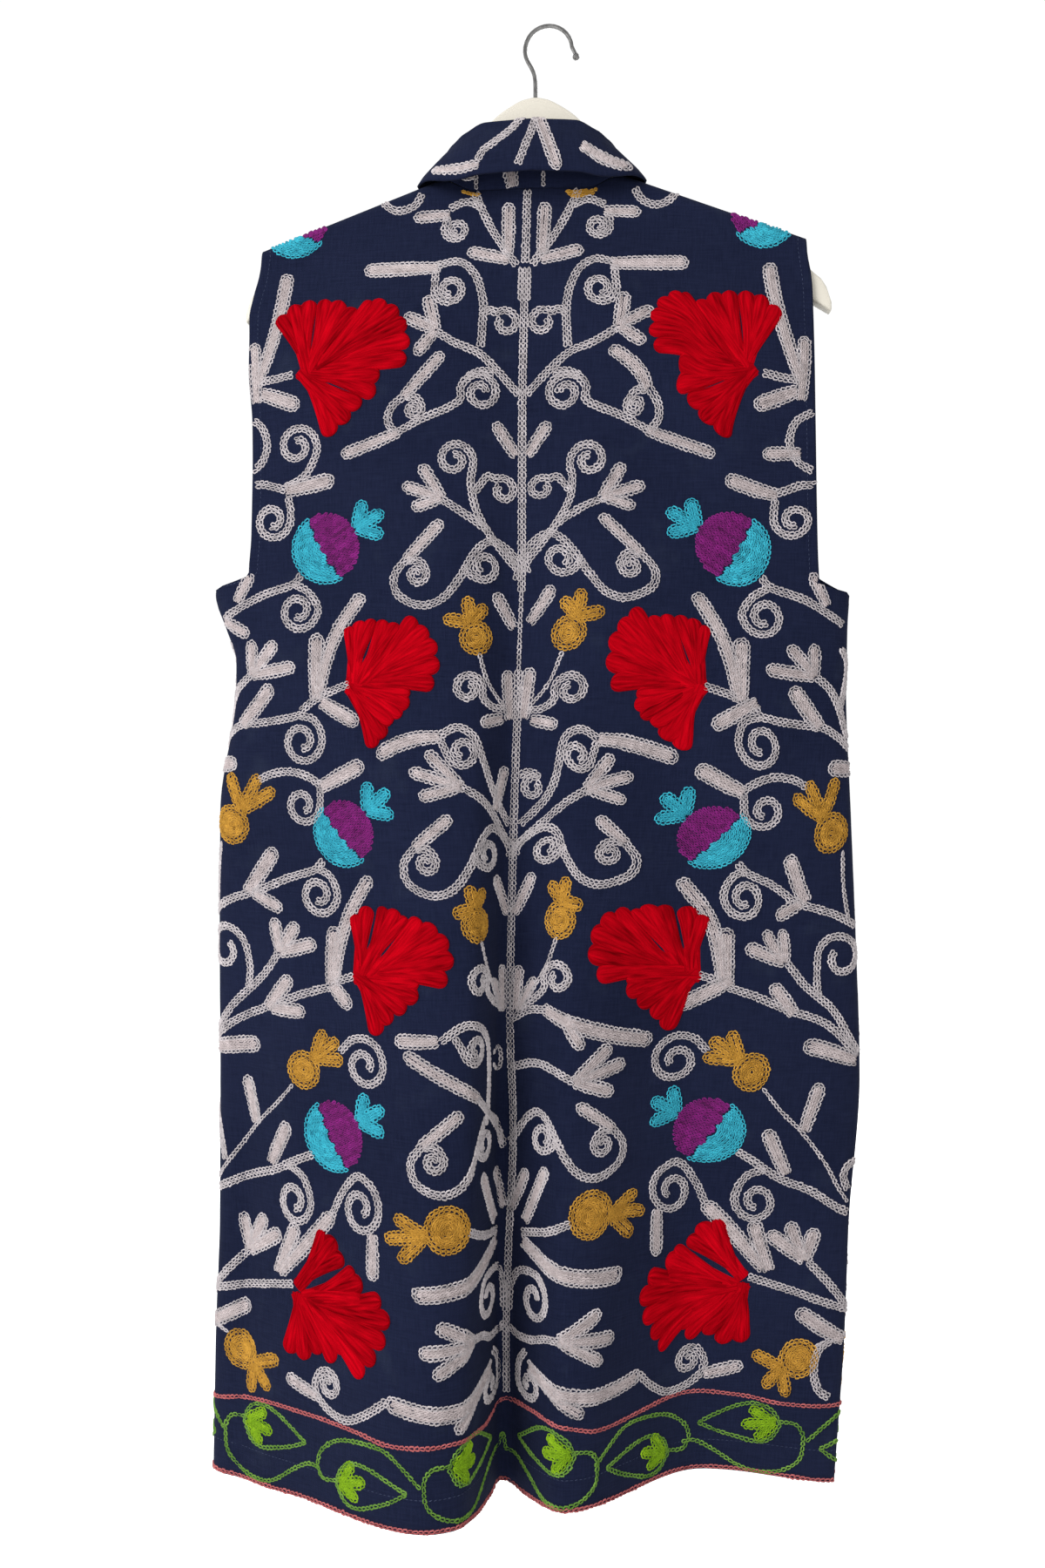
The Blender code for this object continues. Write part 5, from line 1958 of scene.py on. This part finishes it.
@dataclass
class Collar:
    """Turned-down collar: stand and fall in one piece of cloth round the neck seam."""

    back: DrapedTube
    front: DrapedTube
    fold_radius: float = 0.0032
    belly: float = 0.0022
    wall: float = 0.0016
    stand_reach: float = 92.0
    stand_below: float = 30.0
    front_points: int = 26
    back_points: int = 57
    grid: Array = field(init=False)

    def neck(self) -> list[tuple[Array, float, int]]:
        """Places round the neck seam with their place value and hand.

        Returns:
            Points from the left front end, round the back, to the right front end.
        """
        neck_point = NECK_POINT * SHOULDER_TIP_R
        fronts = {}
        for hand in (-1, 1):
            path = []
            for out in np.linspace(FRONT_EDGE_TOP_R, neck_point, self.front_points, endpoint=False):
                z = float(front_top_z(out))
                u = self.front.length_at(np.array([CENTRE_X + hand * out]), np.array([z]))
                place = 2.0 - (out - FRONT_EDGE_TOP_R) / (neck_point - FRONT_EDGE_TOP_R)
                path.append((self.front.place(u, np.array([z]))[0], place, hand))
            fronts[hand] = path
        middle = []
        for share in np.linspace(-NECK_POINT, NECK_POINT, self.back_points):
            z = float(back_top_z(abs(share) * SHOULDER_TIP_R))
            x = CENTRE_X + share * SHOULDER_TIP_R
            u = self.back.length_at(np.array([x]), np.array([z]))
            hand = -1 if x < CENTRE_X else 1
            middle.append((self.back.place(u, np.array([z]))[0], abs(share) / NECK_POINT, hand))
        return fronts[-1] + middle + fronts[1][::-1]

    def profile(self, place: float) -> Array:
        """Middle line of the collar's cloth, outwards and upwards from the neck seam.

        Args:
            place: Place round the neck.

        Returns:
            Points of the line, from the seam over the fold to the edge.
        """
        value = {name: float(read_table(COLLAR, name, place)) for name in CollarSection._fields[1:]}
        fold = np.array((value["fold_out"], value["fold_up"]))
        edge = np.array((value["edge_out"], value["edge_up"]))
        turn = self.fold_radius
        foot = np.array((0.0, SEAM_GAP))
        line = [foot + (fold + (-turn, -turn) - foot) * t for t in (0.0, 0.2, 0.4, 0.6, 0.8)]
        for angle in np.linspace(math.pi, 0.0, 9):
            line.append(fold + (turn * math.cos(angle), turn * (math.sin(angle) - 1.0)))
        fall = fold + (turn, -turn)
        for t in np.linspace(0.0, 1.0, 13)[1:]:
            line.append(fall + (edge - fall) * t + (self.belly * 4.0 * t * (1.0 - t), 0.0))
        return np.array(line)

    def build(self) -> Thing:
        """Make the collar's cloth.

        Returns:
            Its object.
        """
        rows = []
        for point, place, hand in self.neck():
            turn = math.radians(float(read_table(COLLAR, "facing", place)))
            out = np.array((hand * math.sin(turn), -math.cos(turn), 0.0))
            line = beside(self.profile(place), self.wall / 2.0)
            base = point - out * self.wall / 2.0
            rows.append([base + out * o + np.array((0.0, 0.0, u)) for o, u in line])
        self.grid = np.array(rows)
        count, columns = self.grid.shape[:2]
        thing = new_mesh("collar_cloth", self.grid.reshape(-1, 3), grid_faces(count, columns, True))
        s, t = self.rulers()
        places_uv = np.stack(np.meshgrid(s, t, indexing="ij"), axis=-1).reshape(-1, 2) * MM
        give_uv(thing, places_uv)
        thicken(thing, self.wall)
        thing.data.shade_smooth()
        return thing

    def rulers(self) -> tuple[Array, Array]:
        """Millimetres along the collar's fold from the centre back, and down from the fold."""
        fold_column = 9
        along = np.linalg.norm(np.diff(self.grid[:, fold_column + 6], axis=0), axis=1)
        s = np.concatenate(([0.0], np.cumsum(along))) / MM
        down = np.linalg.norm(np.diff(self.grid[len(s) // 2], axis=0), axis=1)
        t = np.concatenate(([0.0], np.cumsum(down))) / MM
        return s - s[len(s) // 2], t - t[fold_column]

    def read(self, s: Array, t: Array) -> Array:
        """Places on the collar for a chart's places (mm along the fold, mm below it)."""
        along, down = self.rulers()
        r = np.clip(np.interp(s, along, np.arange(len(along))), 0.0, len(along) - 1.001)
        c = np.clip(np.interp(t, down, np.arange(len(down))), 0.0, len(down) - 1.001)
        return between(self.grid, r, c)

    def patches(self, s: Array, t: Array) -> Patch:
        """Places and directions on the collar for a chart's places (see DrapedTube)."""
        across = unit(self.read(s + 1.0, t) - self.read(s - 1.0, t))
        down = unit(self.read(s, t + 0.8) - self.read(s, t - 0.8))
        return Patch(self.read(s, t), across, down, unit(np.cross(down, across)))

    def behind(self, s: Array, t: Array) -> Patch:
        """Places and directions on the cloth's other side, which the stand shows."""
        patch = self.patches(s, t)
        return Patch(patch.spot - patch.out * self.wall, patch.across, -patch.down, -patch.out)

    def stand_holds(self, s: Array, t: Array) -> Array:
        """Whether a chart's places are on the stand below the fall's edge."""
        down = self.rulers()[1]
        return (np.abs(s) < self.stand_reach) & (t > down[0] + 1.0) & (t < 1.0 - self.stand_below)

    def holds(self, s: Array, t: Array) -> Array:
        """Whether a chart's places are on the collar."""
        along, down = self.rulers()
        return (s > along[0] + 2.0) & (s < along[-1] - 2.0) & (t > -self.stand_below) & (t < down[-1] - 1.0)


STAND_MOTIFS = (
    Leaf((-14, -49), (-18, -28), 12.0),
    Vine(((10, -49), (10, -28)), 1),
    Vine(((-46, -49), (-45, -30)), 1),
    Leaf((-47, -38), (-82, -39), 9.0),
    Leaf((60, -36), (88, -40), 9.0),
)
COLLAR_MOTIFS = (
    Leaf((3, -9), (20, 49), 10.0),
    Vine(((-2, -6), (-14, 14), (-32, 30), (-36, 38))),
    Vine(((6, -6), (1, 16), (-8, 44))),
    Leaf((-36, 42), (-70, 38), 9.5),
    Leaf((38, 28), (72, 41), 13.0),
    Scroll(((96, -8), (104, 8), (112, 20)), (102, 22), 1, 1.1, 0.35),
    Leaf((-108, 6), (-96, 36), 10.0),
    Vine(((-150, -6), (-140, 14), (-124, 30))),
    Leaf((146, 4), (130, 34), 10.0),
    Tulip((164, 30), ((150, 8), (168, 2), (182, 14)), 9.5),
    Tulip((-168, 28), ((-152, 8), (-170, 0), (-184, 14)), 9.5),
)


@dataclass
class Vest:
    """The whole garment: cloth of each panel, embroidery and sewing."""

    back: DrapedTube = field(init=False)
    front: DrapedTube = field(init=False)
    rng: Rng = field(init=False)
    flat_back: Pair = (0.598, 0.993)
    flat_front: Pair = (0.247, 0.984)
    flat_collar: Pair = (0.439, 0.097)

    def __post_init__(self) -> None:
        """Drape both halves of the tube."""
        self.back = DrapedTube(Side.BACK, BACK_FOLDS, BACK_CREASES)
        self.front = DrapedTube(Side.FRONT, FRONT_FOLDS, FRONT_CREASES)
        self.rng = np.random.default_rng(SEED)

    def build_back(self) -> None:
        """Make the back's cloth and stitches."""
        half = spread(BACK_COLUMNS)
        shares = np.concatenate((-half[:0:-1], half))
        cloth = BackCloth("back_cloth", self.back, shares).build()
        self.dress(cloth, "back", ("back",))
        work = Needlework("back", self.back.patches, self.back.holds, self.rng)
        self.chart(work, -1, CENTRAL_MOTIFS + SIDE_MOTIFS + LEFT_MOTIFS, "left")
        self.chart(work, 1, RIGHT_MOTIFS, "right")
        self.chart(work, 1, CENTRAL_MOTIFS + SIDE_MOTIFS, "right", strayed)
        for motif in STEM:
            work.add("middle", motif.rows())
        self.border(work, self.back, (-1, 1))
        self.finish(work)

    def build_front(self, hand: int) -> None:
        """Make one front's cloth and stitches.

        Args:
            hand: -1 left, 1 right.
        """
        side = "left" if hand < 0 else "right"
        name = f"front_{side}"
        panel = FrontCloth(f"{name}_cloth", self.front, spread(FRONT_COLUMNS), hand=hand,
                           upper_rows=38, lower_rows=80)
        self.dress(panel.build(), name, (name,))
        work = Needlework(name, self.front.patches,
                          lambda u, v: self.front.holds(u, v) & (u * hand > 0.0), self.rng, True)
        extra = LEFT_MOTIFS if hand < 0 else RIGHT_MOTIFS
        self.chart(work, hand, CENTRAL_MOTIFS + SIDE_MOTIFS + extra, side)
        self.border(work, self.front, (hand,))
        self.finish(work)

    def chart(self, work: Needlework, hand: int, motifs: tuple, group: str,
              move: Callable[[Array], Array] = np.array) -> None:
        """Work a half chart onto one hand of a panel.

        Args:
            work: The panel's needlework.
            hand: -1 left, 1 right.
            motifs: The chart.
            group: Name for the pieces.
            move: Where the hand's drawing has the chart's places.
        """
        for motif in motifs:
            if isinstance(motif, Carnation):
                work.pad(group, motif, hand, move)
            else:
                work.add(group, motif.rows(), hand, MOTIF_DRIFT, move)

    def border(self, work: Needlework, tube: DrapedTube, hands: tuple[int, ...]) -> None:
        """Work the hem border, the edging and the plain sewing.

        Args:
            work: The panel's needlework.
            tube: The panel's half of the tube.
            hands: Sides of the panel that it has.
        """
        for leaf in BORDER:
            work.add("border", leaf.rows(), 1, BORDER_DRIFT)
        work.add("border", [Row(smooth_line(SALMON_ROW), Yarn.SALMON)])
        reach = np.arange(-SEAM_REACH, SEAM_REACH + 0.1, 2.0)
        for v, yarn, stitch in ((HEM_EDGE_V, Yarn.SALMON, CHAIN), (HEM_STITCH_V, Yarn.NAVY, RUNNING)):
            wave = 0.6 * np.sin(reach / 40.0)
            work.add("border", [Row(np.stack((reach, v + wave), axis=1), yarn, stitch)])
        v = np.arange(20.0, 300.0, 4.0)
        for hand in hands:
            edge = tube.edge(NECK_SEAM_Z - v * MM, hand) / MM - hand * ARMHOLE_STITCH_IN
            work.add("border", [Row(np.stack((edge, v), axis=1), Yarn.NAVY, RUNNING)])

    def build_collar(self) -> None:
        """Make the collar's cloth and stitches."""
        collar = Collar(self.back, self.front)
        self.dress(collar.build(), "collar", ("collar",))
        work = Needlework("collar", collar.patches, collar.holds, self.rng)
        stand = Needlework("stand", collar.behind, collar.stand_holds, self.rng)
        for piece, motifs, drift in ((work, COLLAR_MOTIFS, MOTIF_DRIFT), (stand, STAND_MOTIFS, STAND_DRIFT)):
            for motif in motifs:
                piece.add("work", motif.rows(), 1, drift)
            self.finish(piece)

    def dress(self, cloth: Thing, name: str, nodes: tuple[str, ...]) -> None:
        """Finish a panel's cloth and tell the frame what it is.

        Args:
            cloth: The panel's object.
            name: Name for its finish.
            nodes: CAD nodes that it stands for.
        """
        cloth.data.materials.append(ClothFinish(f"{name}_navy_cotton").make())
        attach(cloth, "root")
        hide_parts(*nodes)
        LOG.info("%s: %d faces", cloth.name, len(cloth.data.polygons))

    def finish(self, work: Needlework) -> None:
        """Build a panel's stitches and give each yarn its wool."""
        for piece in work.build():
            yarn = Yarn[piece["yarn"]]
            del piece["yarn"]
            found = bpy.data.materials.get(yarn.value.name)
            piece.data.materials.append(found if found else yarn.value.make())
            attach(piece, "root")


@dataclass
class Hanger:
    """Painted wooden board with a raised crown and slim tips, and its bright wire hook."""

    thickness: float = 0.012
    step: float = 0.004
    rim: float = 0.0021
    hole_radius: float = 0.0019
    hole_depth: float = 0.022

    def build(self) -> None:
        """Shape, round and drill the board, and give board and hook their finishes."""
        board = self.shape_board()
        self.round_edges(board)
        self.drill(board)
        board.data.materials.append(PaintFinish().make())
        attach(board, "root")
        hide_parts("hanger")
        LOG.info("hanger board %d faces", len(board.data.polygons))
        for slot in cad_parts["hook"].material_slots:
            slot.material = WireFinish().make()
        LOG.info("hook dressed")

    def edges_at(self, out: float) -> Pair:
        """Upper and lower edge of the board, a distance out from its middle."""
        return float(read_table(BOARD, "top", out)), float(read_table(BOARD, "bottom", out))

    def shape_board(self) -> Thing:
        """Draw the board out of a block at its middle, an arm to each side.

        Returns:
            The board.
        """
        top, bottom = self.edges_at(0.0)
        bpy.ops.object.select_all(action="DESELECT")
        bpy.ops.mesh.primitive_cube_add(size=1.0, location=(STEM_X, 0.0, (top + bottom) / 2.0),
                                        scale=(self.step, self.thickness, top - bottom))
        board = bpy.context.object
        board.name = "hanger_board"
        bpy.ops.object.transform_apply(location=True, rotation=True, scale=True)
        bpy.ops.object.mode_set(mode="EDIT")
        for hand in (-1, 1):
            self.draw_arm(board, hand)
        bpy.ops.object.mode_set(mode="OBJECT")
        return board

    def draw_arm(self, board: Thing, hand: int) -> None:
        """Extrude one arm, step by step, each step brought to the arm's depth there.

        Args:
            board: The board, in edit mode.
            hand: -1 left, 1 right.
        """
        bpy.ops.mesh.select_mode(type="FACE")
        bpy.ops.mesh.select_all(action="DESELECT")
        mesh = bmesh.from_edit_mesh(board.data)
        max(mesh.faces, key=lambda face: hand * face.calc_center_median().x).select_set(True)
        bmesh.update_edit_mesh(board.data)
        tip = BOARD[-1].out
        steps = round((tip - self.step / 2.0) / self.step)
        places = np.linspace(self.step / 2.0, tip, steps + 1)
        top, bottom = self.edges_at(0.0)
        for before, place in zip(places, places[1:]):
            new_top, new_bottom = self.edges_at(place)
            drop = (new_top + new_bottom - top - bottom) / 2.0
            bpy.ops.mesh.extrude_region_move(
                TRANSFORM_OT_translate={"value": (hand * (place - before), 0.0, drop)})
            middle = (STEM_X + hand * place, 0.0, (new_top + new_bottom) / 2.0)
            bpy.ops.transform.resize(value=(1.0, 1.0, (new_top - new_bottom) / (top - bottom)),
                                     center_override=middle)
            top, bottom = new_top, new_bottom

    def round_edges(self, board: Thing) -> None:
        """Round the board's edges and shade it."""
        bevel = board.modifiers.new("rim", "BEVEL")
        bevel.width = self.rim
        bevel.segments = 3
        bevel.limit_method = "ANGLE"
        bevel.angle_limit = math.radians(40.0)
        bpy.ops.object.modifier_apply(modifier=bevel.name)
        bpy.ops.object.shade_smooth_by_angle(angle=math.radians(35.0))

    def drill(self, board: Thing) -> None:
        """Drill the hole for the hook down into the crown."""
        top = self.edges_at(0.0)[0]
        bpy.ops.object.select_all(action="DESELECT")
        bpy.ops.mesh.primitive_cylinder_add(vertices=24, radius=self.hole_radius, depth=2.0 * self.hole_depth,
                                            location=(STEM_X, 0.0, top))
        bit = bpy.context.object
        bpy.context.view_layer.objects.active = board
        cut = board.modifiers.new("hole", "BOOLEAN")
        cut.operation = "DIFFERENCE"
        cut.object = bit
        bpy.ops.object.modifier_apply(modifier=cut.name)
        bpy.data.objects.remove(bit)


@dataclass
class Studio:
    """Pale floor, soft lights and the camera."""

    camera_spot: Triple = (0.0395, -0.9982, -0.572)
    camera_turn: float = 3.4
    lens: float = 30.3
    floor_z: float = -1.32

    def build(self) -> None:
        """Make the camera, the floor, the lights and the pale surroundings."""
        data = bpy.data.cameras.new("camera")
        data.lens = self.lens
        data.sensor_width = 36.0
        data.clip_start = 0.02
        camera = bpy.data.objects.new("camera", data)
        camera.location = self.camera_spot
        camera.rotation_euler = (math.radians(90.0), 0.0, math.radians(self.camera_turn))
        bpy.context.scene.collection.objects.link(camera)
        bpy.context.scene.camera = camera
        bpy.ops.object.select_all(action="DESELECT")
        bpy.ops.mesh.primitive_plane_add(size=60.0, location=(0.0, 0.0, self.floor_z))
        floor = bpy.context.object
        floor.name = "floor"
        n = Nodes("pale_floor")
        n.set(Base_Color=(0.985, 0.985, 0.985, 1.0), Roughness=0.95)
        floor.data.materials.append(n.material)
        self.light("key", (-1.9, -2.1, 0.6), (0.0, 0.0, -0.55), 1.4, 100.0)
        self.light("fill", (2.0, -1.9, 0.1), (0.0, 0.0, -0.6), 2.2, 10.0)
        self.light("rear", (0.4, 2.6, 0.7), (0.0, 0.0, -0.55), 2.2, 55.0)
        world = bpy.data.worlds.new("pale")
        world.use_nodes = True
        background = world.node_tree.nodes["Background"]
        background.inputs["Color"].default_value = (1.0, 1.0, 1.0, 1.0)
        background.inputs["Strength"].default_value = 1.03
        bpy.context.scene.world = world
        bpy.context.scene.view_settings.view_transform = "Standard"

    def light(self, name: str, spot: tuple, target: tuple, size: float, power: float) -> None:
        """Add a soft square light.

        Args:
            name: Its name.
            spot: Where it is.
            target: Where it points.
            size: Its side.
            power: Its power in watts.
        """
        data = bpy.data.lights.new(name, "AREA")
        data.size = size
        data.energy = power
        thing = bpy.data.objects.new(name, data)
        thing.location = spot
        run = np.subtract(target, spot)
        flat = math.hypot(run[0], run[1])
        thing.rotation_euler = (math.atan2(flat, -run[2]), 0.0, math.atan2(-run[0], run[1]))
        bpy.context.scene.collection.objects.link(thing)


def main() -> None:
    """Build everything in order."""
    logging.basicConfig(level=logging.INFO, format="%(name)s: %(message)s")
    Studio().build()
    vest = Vest()
    vest.build_back()
    vest.build_front(-1)
    vest.build_front(1)
    vest.build_collar()
    Hanger().build()


if __name__ == "__main__":
    main()
